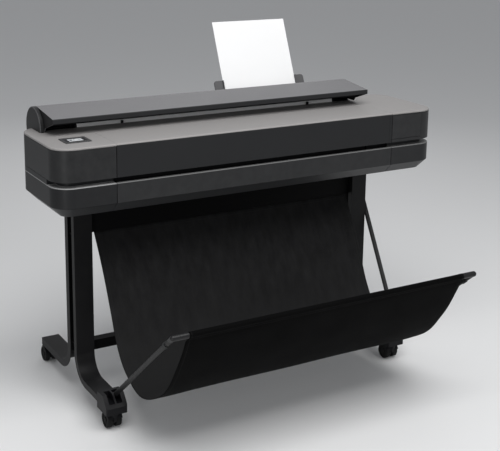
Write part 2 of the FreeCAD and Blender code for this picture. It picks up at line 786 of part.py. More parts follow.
def roll_trough():
    """Half-round cradle under the roll, with end walls that carry the spindle."""
    x0, x1 = trough_left, trough_right
    step = deck_rear + trough_step
    under = box(x0, x1, hump_y - hump_radius, step, 0, plate_low - hairline)
    behind = box(x0, x1, step, hump_y + hump_radius, 0, hump_z)
    room = under.fuse(behind)
    shell = ring_x(x0, x1, hump_y, hump_z, trough_outer, trough_inner).common(room)
    slot = box(roll_left - web_slot_margin, roll_right + web_slot_margin, hump_y - hump_radius, hump_y,
               hump_z - web_slot_low - web_slot_height, hump_z - web_slot_low)
    shell = shell.cut(slot)
    ends = [rod_x(a, b, hump_y, hump_z, trough_outer).common(room)
            for a, b in ((x0, x0 + wall), (x1 - wall, x1))]
    notch = rod_x(x0 - 1, x1 + 1, roll_y, roll_z, spindle_radius + running_gap)
    mouth = box(x0 - 1, x1 + 1, roll_y - spindle_radius - running_gap,
                roll_y + spindle_radius + running_gap, roll_z, far)
    return join(shell, *ends).cut([notch, mouth])


def roll_end_caps():
    """Round cap at the left end and a low bearing block at the right, each with a pin."""
    x1 = hump_left - hairline
    x0 = x1 - end_cap_thickness
    body = box(-half_width, half_width, cabinet_front, cabinet_rear + part_gap, 0,
               cabinet_top + part_gap)
    cap = rod_x(x0, x1, hump_y, hump_z, hump_radius).cut(body)
    outer = select_edges(cap, lambda e: e.BoundBox.XMax < x0 + 0.01
                         and e.BoundBox.YLength > hump_radius / 2
                         and e.BoundBox.ZLength > hump_radius / 2)
    cap = cap.makeFillet(end_cap_edge_radius, outer)
    left_pin = rod_x(x1 - pivot_reach, hump_left + hump_wall, hump_y, hump_z, pivot_radius)
    x2 = hump_right + hairline
    x3, r = x2 + right_block_thickness, right_block_radius
    block = rod_x(x2, x3, hump_y, hump_z, r).fuse(
        box(x2, x3, hump_y - r, hump_y + r, cabinet_top, hump_z))
    block = block.cut(body)
    right_pin = rod_x(hump_right - hump_wall, x2 + pivot_reach, hump_y, hump_z, pivot_radius)
    return solids(join(cap, left_pin), join(block, right_pin))


def spindle():
    """Shaft with two hubs that hold the roll's core."""
    shaft = rod_x(trough_left + hairline, trough_right - hairline, roll_y, roll_z, spindle_radius)
    hubs = []
    for face, way in ((roll_left, -1), (roll_right, 1)):
        flange = rod_x(face, face + way * hub_flange, roll_y, roll_z, hub_flange_radius)
        spigot = rod_x(face - way * hub_spigot, face, roll_y, roll_z, roll_core_radius - part_gap)
        collar = rod_x(face, face + way * 3 * hub_flange, roll_y, roll_z, hub_collar_radius)
        hub = join(flange, spigot, collar)
        hubs.append(hub.cut(rod_x(hump_left, hump_right, roll_y, roll_z, spindle_radius)))
    return solids(shaft, *hubs)


def media_roll():
    """Roll of paper wound on its core."""
    return ring_x(roll_left + part_gap, roll_right - part_gap, roll_y, roll_z, roll_radius,
                  roll_core_radius)


# ---- Sheet feeder --------------------------------------------------------------------
def leaned(shape):
    """Takes a piece made upright, sheet's plane at y = 0 and deck level at z = 0, to its place."""
    turned = shape.copy()
    turned.rotate(Vector(0, 0, 0), Vector(1, 0, 0), -sheet_lean)
    back = hump_y + (sheet_offset - hump_rise * math.sin(lean)) / math.cos(lean)
    turned.translate(Vector(0, back, cabinet_top))
    return turned


def sheet():
    x = sheet_width / 2
    return leaned(box(sheet_centre - x, sheet_centre + x, 0, sheet_thickness,
                      sheet_low, sheet_above_deck))


def sheet_tray():
    """Leaning back plate with a foot under the sheet, side cheeks and stiffening ribs."""
    back = tray_front + tray_thickness
    plate = box(tray_x0, tray_x1, tray_front, back, tray_low, tray_above_deck)
    foot = box(tray_x0, tray_x1, -cheek_depth, back, tray_low, sheet_low - part_gap)
    pieces = [foot]
    for x in (tray_x0, tray_x1 - wall):
        pieces.append(box(x, x + wall, -cheek_depth, back, tray_low, -cheek_top))
    pitch = 2 * tray_half_width / tray_rib_count
    for i in range(tray_rib_count):
        x = tray_x0 + (i + 0.5) * pitch
        pieces.append(box(x - rib_thickness / 2, x + rib_thickness / 2, back - 1, back + tray_rib,
                          tray_low * tray_rib_share, tray_above_deck - 2 * wall))
    tray = leaned(join(plate, *pieces))
    y0 = cabinet_rear + part_gap
    ear_low = cabinet_base + tray_cutout + 2 * wall
    ears = [box(a, a + wall + tray_ear, y0, y0 + wall, ear_low, ear_low + tray_ear_height)
            for a in (tray_x0 - tray_ear, tray_x1 - wall)]
    return join(tray, *ears)


def sheet_guide():
    """Right-hand side guide: a flat wing on the tray and a fence at the sheet's edge."""
    edge = sheet_centre + sheet_width / 2 + part_gap
    back = tray_front - part_gap
    wing = box(edge, edge + guide_width, -guide_thickness, back, guide_low, guide_high)
    corner = select_edges(wing, lambda e: e.BoundBox.YLength > 2 and e.BoundBox.XMin > edge + 1
                          and e.BoundBox.ZMin > guide_high - 1)
    wing = wing.makeFillet(guide_corner, corner)
    fence = box(edge, edge + guide_thickness, -guide_fence, back, guide_low, guide_high)
    return leaned(join(wing, fence))


def sheet_guide_left():
    shift = Vector(2 * sheet_centre, 0, 0)
    other = mirrored(sheet_guide())
    other.translate(shift)
    return other


# ---- Stand ---------------------------------------------------------------------------
def channel_strip(web_y, way, foot_end, near, far, x0, x1):
    """Plate that follows a leg's bend, between two depths behind its concave face."""
    def side(depth):
        bend_y = web_y + way * foot_bend
        centre_z = foot_top + foot_bend
        diag = (foot_bend + depth) * math.sqrt(0.5)
        points = [(web_y - way * depth, column_head), (web_y - way * depth, centre_z),
                  (bend_y, foot_top - depth), (foot_end, foot_top - depth)]
        return points, (bend_y - way * diag, centre_z - diag)
    a, a_mid = side(near)
    b, b_mid = side(far)
    return edges_x(x0, x1, [
        line(a[0], a[1]), arc(a[1], a_mid, a[2]), line(a[2], a[3]), line(a[3], b[3]),
        line(b[3], b[2]), arc(b[2], b_mid, b[1]), line(b[1], b[0]), line(b[0], a[0])])


def leg_channel(web_y, way, foot_end, flange, head_y0, head_y1):
    """Bent channel: web on the hollow side of the bend, flanges behind it, head plate on top."""
    x0, x1 = leg_x - leg_width / 2, leg_x + leg_width / 2
    web = channel_strip(web_y, way, foot_end, 0, channel_wall, x0, x1)
    sides = [channel_strip(web_y, way, foot_end, 0, flange, a, a + channel_wall)
             for a in (x0, x1 - channel_wall)]
    head = box(x0 - head_overhang, x1 + head_overhang, head_y0, head_y1, column_head,
               cabinet_base)
    return join(web, sides[0], sides[1], head)


def bolt_y(x, y, z, length):
    """Round-headed bolt whose head bears on the plane y, seen from the rear."""
    head = rod((x, y, z), (x, y + bolt_head, z), bolt_head_radius)
    top = select_edges(head, lambda e: e.BoundBox.YMin > y + bolt_head - 0.01)
    head = head.makeFillet(bolt_head_edge, top)
    return join(head, rod((x, y, z), (x, y - length, z), bolt_radius))


def stem_bore(stem_y, seat_z):
    """Blind hole that a caster's stem turns in."""
    return rod((leg_x, stem_y, seat_z - 1), (leg_x, stem_y, seat_z + stem_length + stem_end_gap),
               stem_radius + running_gap)


def leg_front():
    leg = leg_channel(front_web_y, -1, bracket_rear, front_flange,
                      front_web_y - head_reach_front, head_middle - part_gap / 2)
    beyond = box(bracket_x0, bracket_x1, bracket_rear - 1, bracket_rear + part_gap, 0,
                 foot_top + 1)
    return leg.cut([beyond] + head_bolt_holes)


def leg_rear():
    """Rear leg with a caster socket under the end of its foot."""
    leg = leg_channel(rear_web_y, 1, rear_foot_end, rear_flange, head_middle + part_gap / 2,
                      rear_web_y + head_reach_rear)
    half = leg_width / 2 - channel_wall / 2
    socket = box(leg_x - half, leg_x + half, 2 * rear_stem_y - rear_foot_end, rear_foot_end,
                 rear_seat, foot_top - channel_wall / 2)
    leg = join(leg, socket)
    bore = stem_bore(rear_stem_y, rear_seat)
    holes = [rod((leg_x, gap_rear, z), (leg_x, rear_web_y + 1, z), bolt_radius)
             for z in tie_bolt_z]
    return leg.cut([bore] + holes + head_bolt_holes)


def tie(z0, z1, thickness):
    """Box tube between the legs, in the gap between front and rear channels."""
    y0, y1 = gap_front + part_gap, gap_rear - part_gap
    x = tie_half_length
    tube = box(-x, x, y0, y1, z0, z1).cut(
        box(-x - 1, x + 1, y0 + thickness, y1 - thickness, z0 + thickness, z1 - thickness))
    holes = [rod((s * leg_x, (y0 + y1) / 2, z), (s * leg_x, y1 + 1, z), bolt_radius)
             for s in (-1, 1) for z in tie_bolt_z]
    return tube.cut(holes)


def stand_bolts():
    bolts = []
    for side in (-1, 1):
        bolts += [bolt_y(side * leg_x, rear_web_y, z, tie_bolt_length) for z in tie_bolt_z]
        for y in head_bolt_y:
            head = rod((side * leg_x, y, column_head - bolt_head), (side * leg_x, y, column_head),
                       bolt_head_radius)
            shank = rod((side * leg_x, y, column_head), (side * leg_x, y, chassis_floor + bolt_end),
                        bolt_radius)
            bolts.append(join(head, shank))
    return solids(*bolts)


head_bolt_holes = [rod((side * leg_x, y, column_head - 1),
                       (side * leg_x, y, chassis_floor + bolt_end + 2), bolt_radius)
                   for side in (-1, 1) for y in head_bolt_y]


def foot_bracket():
    """Moulded front foot: caster bore below, two slots above, the inner one for the bin arm."""
    c = bracket_corner
    nose = bracket_high - bracket_nose
    profile = [(bracket_rear, bracket_low), (bracket_rear, bracket_high - c),
               (bracket_rear - c, bracket_high), (pivot_y - 2 * c, bracket_high),
               (bracket_front + c, nose), (bracket_front, nose - c), (bracket_front, bracket_low)]
    block = polygon_x(bracket_x0, bracket_x1, profile)
    upright = select_edges(block, lambda e: e.BoundBox.YMax < bracket_front + 0.01
                           and e.BoundBox.ZLength > bracket_corner)
    block = block.makeFillet(c, upright)
    cuts = [stem_bore(front_stem_y, bracket_low)]
    for way in (-1, 1):
        middle = leg_x + way * arm_slot_offset
        half = arm_slot_width / 2
        cuts.append(box(middle - half, middle + half, bracket_front - 1,
                        pivot_y + arm_radius + arm_slot_end,
                        pivot_z - arm_radius - arm_slot_depth, bracket_high + 1))
    tongue_half = leg_width / 2 - channel_wall - part_gap
    tongue = box(leg_x - tongue_half, leg_x + tongue_half, bracket_rear - 1,
                 bracket_rear + tongue_length, foot_top - front_flange,
                 foot_top - channel_wall - part_gap)
    block = join(block.cut(cuts), tongue)
    pin_half = arm_slot_width / 2 + arm_pin_reach
    pin = rod_x(arm_x - pin_half, arm_x + pin_half, pivot_y, pivot_z, pivot_radius)
    return join(block, pin)


def bin_stay():
    """Straight tube from the right column's outer face down to the right foot bracket."""
    x = bracket_x1 + part_gap + stay_radius - stay_wall
    top = Vector(x, gap_rear - stay_top_ahead, beam_low + stay_top_rise)
    foot = Vector(x, pivot_y + stay_foot_behind, pivot_z + stay_foot_rise)
    way = (foot - top).normalize()
    tube = rod(top, foot, stay_radius).cut(rod(top, foot, stay_radius - stay_wall))
    pieces = []
    for end, out, face in ((top, way * -1, leg_x + leg_width / 2), (foot, way, bracket_x1)):
        plug = rod(end - out * stay_insert, end + out * stay_plug, stay_radius - stay_wall)
        eye = end + out * (stay_plug - stay_eye_inset)
        pieces += [plug, rod_x(face, x, eye.y, eye.z, stay_pin_radius)]
    return join(tube, *pieces)


# ---- Casters -------------------------------------------------------------------------
def caster_fork(stem_y, trail, seat_z):
    """Web between the wheels with a fender over them and a stem that turns in the foot."""
    wheel_y = stem_y + trail
    fender = wheel_radius + fender_gap
    web_half = wheel_pair_gap / 2 - fork_gap
    web = join(rod_x(leg_x - web_half, leg_x + web_half, wheel_y, wheel_radius,
                     wheel_radius - fork_web_inset),
               box(leg_x - web_half, leg_x + web_half, stem_y - fork_web_reach, wheel_y,
                   wheel_radius, wheel_radius + fender))
    hood = ring_x(leg_x - pair_half, leg_x + pair_half, wheel_y, wheel_radius,
                  fender + fender_wall, fender)
    hood = hood.common(box(leg_x - far, leg_x + far, wheel_y - far, wheel_y + hood_reach,
                           wheel_radius + hood_low, seat_z))
    boss_top = seat_z - seat_gap
    boss = rod((leg_x, stem_y, wheel_radius + fork_boss_low), (leg_x, stem_y, boss_top),
               fork_boss_radius)
    wheels_room = [rod_x(leg_x + s * wheel_pair_gap / 2, leg_x + s * (pair_half + 1), wheel_y,
                         wheel_radius, fender) for s in (-1, 1)]
    stem = rod((leg_x, stem_y, boss_top - 1), (leg_x, stem_y, seat_z + stem_length), stem_radius)
    axle_half = pair_half - wheel_dish_depth
    axle = rod_x(leg_x - axle_half, leg_x + axle_half, wheel_y, wheel_radius, axle_radius)
    body = join(web, hood, boss).cut(wheels_room)
    return join(body, stem, axle)


def caster_wheels(stem_y, trail):
    """Two wheels on one axle, each with a raised rim and a domed hub."""
    wheel_y = stem_y + trail
    wheels = []
    for side in (-1, 1):
        inner = leg_x + side * (wheel_pair_gap / 2)
        outer = leg_x + side * pair_half
        wheel = rod_x(inner, outer, wheel_y, wheel_radius, wheel_radius)
        rims = select_edges(wheel, lambda e: e.BoundBox.ZLength > wheel_radius)
        wheel = wheel.makeFillet(wheel_edge, rims)
        dish = ring_x(outer - side * wheel_dish_depth, outer + side, wheel_y, wheel_radius,
                      wheel_dish_outer, wheel_dish_inner)
        bore = rod_x(inner - side, outer - side * (wheel_dish_depth - hairline), wheel_y,
                     wheel_radius, axle_radius + running_gap)
        wheels.append(wheel.cut([dish, bore]))
    return solids(*wheels)


# ---- Bin -----------------------------------------------------------------------------
arm_way = Vector(arm_splay, bar_y - pivot_y, bar_z - pivot_z)
arm_length = arm_way.Length
arm_way.normalize()
collar_end = arm_length - elbow_shank - part_gap


def along_arm(distance):
    return (arm_x + arm_way.x * distance, pivot_y + arm_way.y * distance,
            pivot_z + arm_way.z * distance)


def bin_arm():
    """Arm with an eye on the bracket's pin, and a darker collar below the elbow."""
    tube = rod(along_arm(arm_radius / 2), along_arm(collar_end - 1), arm_radius)
    eye = rod_x(arm_x - arm_radius, arm_x + arm_radius, pivot_y, pivot_z, arm_radius + 1)
    collar = rod(along_arm(collar_end - collar_length), along_arm(collar_end),
                 arm_radius + arm_collar)
    arm = join(tube, eye, collar)
    return arm.cut(rod_x(0, far, pivot_y, pivot_z, pivot_radius + running_gap))


def bin_elbow():
    """Plastic corner that takes the arm's end and the bar's end."""
    shank = rod(along_arm(arm_length - elbow_shank), along_arm(arm_length), arm_radius)
    knuckle = Part.makeSphere(elbow_radius, Vector(elbow_x, bar_y, bar_z))
    sleeve = rod_x(elbow_x - elbow_length, elbow_x, bar_y, bar_z, elbow_radius)
    elbow = join(shank, knuckle, sleeve)
    return elbow.cut(rod_x(0, elbow_x - bar_end, bar_y, bar_z, bar_radius))


def bin_bar():
    x = elbow_x - bar_end
    return ring_x(-x, x, bar_y, bar_z, bar_radius, bar_radius - bar_wall)


def hanging_line():
    """Corners of the fabric's middle line: down from the beam, then up to the bar."""
    start = (gap_front + part_gap + fabric_beam_inset, beam_low - fabric_beam_gap)
    reach = elbow_radius + fabric_bar_gap
    below = math.radians(fabric_bar_angle)
    end = (bar_y + reach * math.sin(below), bar_z - reach * math.cos(below))
    fall = [(start[0] + a * (trough_y - start[0]), start[1] + b * (trough_z - start[1]))
            for a, b in fabric_fall]
    rise = [(trough_y + a * (end[0] - trough_y), trough_z + b * (end[1] - trough_z))
            for a, b in fabric_rise]
    return [start] + fall + [(trough_y, trough_z)] + rise + [end]


def fabric_side(distance):
    """One face of the fabric: straight runs and tangent bends, off the middle line."""
    corners = [Vector(0, y, z) for y, z in hanging_line()]
    runs = [b - a for a, b in zip(corners, corners[1:])]
    ways = [Vector(run).normalize() for run in runs]
    across = [Vector(0, -way.z, way.y) for way in ways]
    here = corners[0] + across[0] * distance
    edges = []
    for i, corner in enumerate(corners[1:-1]):
        turn = ways[i].cross(ways[i + 1]).x
        half_turn = abs(math.asin(turn)) / 2
        reach = fabric_bend * min(runs[i].Length, runs[i + 1].Length)
        toward = math.copysign(reach / math.tan(half_turn), turn)
        centre = corner - ways[i] * reach + across[i] * toward
        radius = abs(toward - distance)
        first = centre - across[i] * math.copysign(radius, turn)
        last = centre - across[i + 1] * math.copysign(radius, turn)
        middle = centre + (corner - centre).normalize() * radius
        edges.append(Part.LineSegment(here, first).toShape())
        edges.append(Part.Arc(first, middle, last).toShape())
        here = last
    end = corners[-1] + across[-1] * distance
    edges.append(Part.LineSegment(here, end).toShape())
    return edges, corners[0] + across[0] * distance, end


def bin_fabric():
    """Fabric as one thin sheet with the hanging line as its middle."""
    inner, inner_start, inner_end = fabric_side(fabric_thickness / 2)
    outer, outer_start, outer_end = fabric_side(-fabric_thickness / 2)
    ends = [Part.LineSegment(inner_start, outer_start).toShape(),
            Part.LineSegment(inner_end, outer_end).toShape()]
    return edges_x(-fabric_half_width, fabric_half_width, inner + outer + ends)


# ---- Chassis and mechanism -----------------------------------------------------------
def chassis():
    """Folded steel floor with two side plates, saddles under the trough and a cross wall."""
    y0, y1 = cabinet_front + chassis_front_inset, cabinet_rear - chassis_rear_inset
    outer = plate_x + plate_wall
    top = plate_low - plate_head_gap
    floor = box(-outer, outer, y0, y1, chassis_low, chassis_floor)
    pieces = [box(side * plate_x, side * outer, y0 + plate_setback, y1, chassis_low, top)
              for side in (-1, 1)]
    pieces.append(box(-plate_x, plate_x, cross_wall_y, motor_face, belt_z - 2 * motor_radius, top))
    for share in (-saddle_share, 0, saddle_share):
        x = share * plate_x
        pieces.append(box(x - saddle_thickness / 2, x + saddle_thickness / 2,
                          hump_y - saddle_front, hump_y - saddle_rear, chassis_floor - 1, hump_z))
    shelf_front = cabinet_front + shelf_setback
    shelf = box(plate_x, door_right + shelf_overhang, shelf_front, shelf_front + shelf_depth,
                shelf_z, shelf_z + plate_wall)
    body = join(floor, *pieces, shelf)
    seat = rod_x(-far, far, hump_y, hump_z, trough_outer + part_gap)
    swing = hump_space(hump_radius + hump_swing)
    swing = swing.common(box(-far, far, hump_y + chassis_swing_start, far, 0, far))
    head = box(-far, far, hump_y - saddle_front - saddle_rear, far,
               hump_z - chassis_head_drop, far)
    holes = [rod_x(-far, far, feed_y, feed_z, feed_shaft_radius + running_gap),
             rod_x(-far, far, feed_y, pinch_z, pinch_shaft_radius + running_gap),
             rod_x(-far, far, rod_y, rod_z, rod_radius),
             rod((motor_x, belt_y, belt_z), (motor_x, motor_face + 1, belt_z),
                 pulley_bore_radius + motor_shaft_gap)]
    window = box(-plate_x - 2 * plate_wall, -plate_x + 2 * plate_wall,
                 cabinet_front + window_setback, cabinet_front + window_setback + window_depth,
                 paper_z - window_drop, paper_z + window_rise)
    body = body.cut([seat, swing, head, window] + holes).cut(head_bolt_holes)
    idler_pin = rod((idler_x, belt_y - belt_width / 2 - 1, belt_z),
                    (idler_x, cross_wall_y + 1, belt_z), pulley_bore_radius)
    inside = plan(wall + part_gap, chassis_low, cabinet_top)
    return join(body, idler_pin).common(chamfered(inside, chassis_low, inner_chamfer))


def platen():
    """Ribbed bridge under the paper, standing on the chassis floor."""
    top = paper_z - platen_drop
    low = top - platen_thickness
    deck = box(platen_left, platen_right, floor_front, platen_rear, low, top)
    feet = [box(platen_left, platen_right, y, y + wall, chassis_floor, low + 1)
            for y in (floor_front, platen_rear - wall)]
    count = int((platen_right - platen_left) / platen_rib_pitch)
    ribs = []
    for i in range(count):
        x = platen_left + (i + 0.5) * platen_rib_pitch
        ribs.append(box(x - platen_rib / 2, x + platen_rib / 2, floor_front + platen_rib,
                        platen_rear - 2 * platen_rib, top - 1, paper_z - part_gap))
    return join(deck, *feet, *ribs)


def roller_sleeves(y, z, outer, inner):
    """Evenly spaced sleeves on a shaft, across the paper's width."""
    pitch = media_width / sleeve_count
    half = pitch * sleeve_share / 2
    middles = [roll_left + (i + 0.5) * pitch for i in range(sleeve_count)]
    return [ring_x(x - half, x + half, y, z, outer, inner) for x in middles]


def feed_roller():
    end = plate_x + plate_wall + feed_shaft_reach
    core = rod_x(roller_end_gap - plate_x, roll_right + roller_overrun, feed_y, feed_z,
                 roller_core_radius)
    shaft = join(core, rod_x(-end, end, feed_y, feed_z, feed_shaft_radius))
    return solids(shaft, *roller_sleeves(feed_y, feed_z, feed_radius, roller_core_radius))


def pinch_rollers():
    end = plate_x + plate_wall + pinch_shaft_reach
    shaft = rod_x(-end, end, feed_y, pinch_z, pinch_shaft_radius)
    return solids(shaft, *roller_sleeves(feed_y, pinch_z, pinch_radius, pinch_shaft_radius))


def carriage():
    """Print carriage: body, cover and nozzle block, riding on the rod and clipped to the belt."""
    x0, x1 = carriage_x - carriage_width / 2, carriage_x + carriage_width / 2
    front, rear = cabinet_front + carriage_setback, belt_y - carriage_rear_gap
    low = paper_z + carriage_clearance
    body_low, body_high = low + nozzle_drop, rod_z + carriage_rise
    body = box(x0, x1, front, rear, body_low, body_high)
    well = box(x0 + wall, x1 - wall, front + wall, rod_y - carriage_block - 2,
               body_low + wall, far)
    nozzles = box(x0 + nozzle_inset, x1 - nozzle_inset, front + nozzle_front,
                  rod_y - nozzle_rear, low, low + nozzle_height)
    clip = box(carriage_x - clip_half_width, carriage_x + clip_half_width, rear - 1,
               belt_y + belt_width / 2 + 1, clip_top - clip_height, clip_top)
    body = join(body.cut(well), nozzles, clip)
    room = pinch_radius + carriage_roller_gap
    rollers = box(x0 - 1, x1 + 1, feed_y - room, far, 0, pinch_z + room)
    guide = rod_x(x0 - 1, x1 + 1, rod_y, rod_z, rod_radius + running_gap)
    body = body.cut([rollers, guide])
    pitch = (carriage_width - 2 * nozzle_inset) / pen_count
    pens = []
    for i in range(pen_count):
        x = x0 + nozzle_inset + (i + 0.5) * pitch
        half = (pitch - pen_gap) / 2
        pens.append(box(x - half, x + half, front + pen_front, rod_y - pen_rear,
                        low + nozzle_height + part_gap, rod_z + pen_rise))
    return solids(body, *pens)


def carriage_belt():
    """Flat, toothless loop round both pulleys in place of the timing belt."""
    y0, y1 = belt_y - belt_width / 2, belt_y + belt_width / 2

    def loop(radius):
        ends = [rod((x, y0, belt_z), (x, y1, belt_z), radius) for x in (idler_x, motor_x)]
        return join(box(idler_x, motor_x, y0, y1, belt_z - radius, belt_z + radius), *ends)
    return loop(pulley_radius + belt_gap + belt_thickness).cut(loop(pulley_radius + belt_gap))


def pulley(x):
    half = belt_width / 2 + pulley_rim
    wheel = rod((x, belt_y - half, belt_z), (x, belt_y + half, belt_z), pulley_radius)
    return wheel.cut(rod((x, belt_y - half - 1, belt_z), (x, belt_y + half + 1, belt_z),
                         pulley_bore_radius + running_gap))


def motors():
    """Carriage motor behind the cross wall and feed motor outside the left side plate."""
    can = rod((motor_x, motor_face, belt_z), (motor_x, motor_face + motor_length, belt_z),
              motor_radius)
    shaft = rod((motor_x, belt_y - belt_width / 2 - 1, belt_z),
                (motor_x, motor_face + 1, belt_z), pulley_bore_radius)
    side = -plate_x - plate_wall
    feed_can = rod_x(side, side - feed_motor_length, feed_y + feed_motor_behind, feed_z,
                     feed_motor_radius)
    return solids(join(can, shaft), feed_can)


def service_station():
    """Parking place of the carriage: a tray with two capping pads and two wipers."""
    x0, x1 = platen_right + station_gap, plate_x - station_inset
    well = chassis_floor + station_well
    top = paper_z - platen_drop
    tray = box(x0, x1, floor_front, platen_rear, chassis_floor, top).cut(
        box(x0 + wall, x1 - wall, floor_front + wall, platen_rear - wall, well, top + 1))
    pads = [box(x - pad_width / 2, x + pad_width / 2, floor_front + pad_setback,
                platen_rear - pad_setback, well, top + pad_rise)
            for x in (carriage_x - pad_spacing / 2, carriage_x + pad_spacing / 2)]
    wipers = [box(x0 + wiper_inset, x1 - wiper_inset, y, y + wiper_thickness, well,
                  top + wiper_rise)
              for y in (floor_front + wiper_setback,
                        platen_rear - wiper_setback - wiper_thickness)]
    return solids(tray, *pads, *wipers)


def ink_cartridges():
    """Ink cartridges side by side on their shelf behind the ink door."""
    first = plate_x + plate_wall + ink_margin
    pitch = (door_right - first) / ink_count
    width = pitch - ink_gap
    front = cabinet_front + ink_setback
    low, high = shelf_z + plate_wall + part_gap, plate_low - ink_head_gap
    packs = []
    for i in range(ink_count):
        x = first + i * pitch
        pack = box(x, x + width, front, front + ink_length, low, high)
        upright = select_edges(pack, lambda e: e.BoundBox.ZLength > (high - low) / 2)
        packs.append(pack.makeFillet(min(ink_corner, width / 4), upright))
    return solids(*packs)


def main_board():
    """Control board on stand-offs outside the left side plate."""
    face = -plate_x - plate_wall
    back = face - board_standoff
    front = back - board_thickness
    y1 = cabinet_rear - board_rear_inset
    y0 = feed_y + feed_motor_behind + feed_motor_radius + board_motor_gap
    z0 = chassis_floor + board_low
    z1 = z0 + board_height
    board = box(front, back, y0, y1, z0, z1)
    posts = [rod_x(face, back, y, z, board_post_radius)
             for y in (y0 + board_post_inset, y1 - board_post_inset)
             for z in (z0 + board_post_inset, z1 - board_post_inset)]
    chips = []
    for across, up in chip_places:
        y, z = y0 + across * (y1 - y0), z0 + up * board_height
        chips.append(box(front - chip_height, front, y, y + chip_size, z, z + chip_size))
    return solids(board, *posts, *chips)


def power_supply():
    x, y = supply_inset - plate_x, cabinet_rear - supply_rear_inset
    return box(x, x + supply_width, y - supply_depth, y, chassis_floor,
               chassis_floor + supply_height)


# ---- Controls ------------------------------------------------------------------------
def display_block(half_x, half_y, z0, z1):
    return box(display_x - half_x, display_x + half_x, display_y - half_y,
               display_y + half_y, z0, z1)


def display_bezel():
    """Frame of the touch display, seated in the left end of the top plate."""
    def slab(inset, z0, z1):
        block = display_block(display_width / 2 - inset, display_depth / 2 - inset, z0, z1)
        upright = select_edges(block, lambda e: abs(e.BoundBox.ZLength - (z1 - z0)) < 0.01)
        return block.makeFillet(display_rim, upright)
    seat = cabinet_top + display_lift
    rim = slab(0, seat, seat + display_rise)
    body = slab(display_rim + part_gap, cabinet_top - display_body, seat)
    pocket = display_block(glass_width / 2 + part_gap, glass_depth / 2 + part_gap,
                           cabinet_top - glass_sink - part_gap, far)
    return join(rim, body).cut(pocket)


def display_glass():
    low = cabinet_top - glass_sink
    return display_block(glass_width / 2, glass_depth / 2, low, low + glass_thickness)


def panel_block(x, half_x, half_z, y0, y1):
    """Block on the rear wall, level with the power inlet."""
    return box(x - half_x, x + half_x, y0, y1, inlet_z - half_z, inlet_z + half_z)


def power_inlet():
    """Appliance inlet with three prongs, and the frame of the power switch beside it."""
    face = cabinet_rear + panel_gap
    flange = panel_block(inlet_x, inlet_half_width + inlet_flange, inlet_half_height + inlet_rim,
                         face, face + flange_thickness)
    body = panel_block(inlet_x, inlet_half_width - panel_gap, inlet_half_height - panel_gap,
                       cabinet_rear - inlet_depth, face + 1)
    cavity = panel_block(inlet_x, inlet_half_width - inlet_wall, inlet_half_height - inlet_wall,
                         cabinet_rear - inlet_cavity, far)
    prongs = []
    for side, rise in ((-1, -prong_drop), (0, prong_lift), (1, -prong_drop)):
        x, z = inlet_x + side * prong_spacing, inlet_z + rise
        prongs.append(box(x - prong_half_width, x + prong_half_width,
                          cabinet_rear - inlet_cavity - 1, cabinet_rear - 1,
                          z - prong_half_height, z + prong_half_height))
    inlet = join(join(flange, body).cut(cavity), *prongs)
    frame = panel_block(switch_x, switch_half_width + switch_rim, switch_half_height + switch_rim,
                        face, face + switch_rim)
    frame = frame.fuse(panel_block(switch_x, switch_half_width - panel_gap,
                                   switch_half_height - panel_gap,
                                   cabinet_rear - switch_body, face + 1))
    half = rocker_width / 2 + part_gap
    radius = rocker_radius + part_gap
    room = rod_x(switch_x - half, switch_x + half, switch_y, inlet_z, radius).fuse(
        panel_block(switch_x, half, radius, switch_y, far))
    pivots = rod_x(switch_x - half - panel_gap, switch_x + half + panel_gap, switch_y, inlet_z,
                   rocker_pin_radius)
    return solids(inlet, join(frame.cut(room), pivots))


def power_switch():
    """Rocker, round about its pivot, with two faces that meet at a shallow angle."""
    x0, x1 = switch_x - rocker_width / 2, switch_x + rocker_width / 2
    disc = rod_x(x0, x1, switch_y, inlet_z, rocker_radius)
    drop = math.tan(math.radians(rocker_tilt)) * rocker_radius
    face = switch_y + rocker_reach - drop
    low, high = inlet_z - rocker_radius, inlet_z + rocker_radius
    outline = polygon_x(x0, x1, [(switch_y - rocker_back, low), (face, low), (face, inlet_z),
                                 (face + 2 * drop, high), (switch_y - rocker_back, high)])
    rocker = disc.common(outline)
    return rocker.cut(rod_x(x0 - 1, x1 + 1, switch_y, inlet_z, rocker_pin_radius + running_gap))


# ---- The whole machine ---------------------------------------------------------------
lower_right = lower_end().cut(head_bolt_holes)
front_leg, rear_leg = leg_front(), leg_rear()
bracket, arm, elbow = foot_bracket(), bin_arm(), bin_elbow()

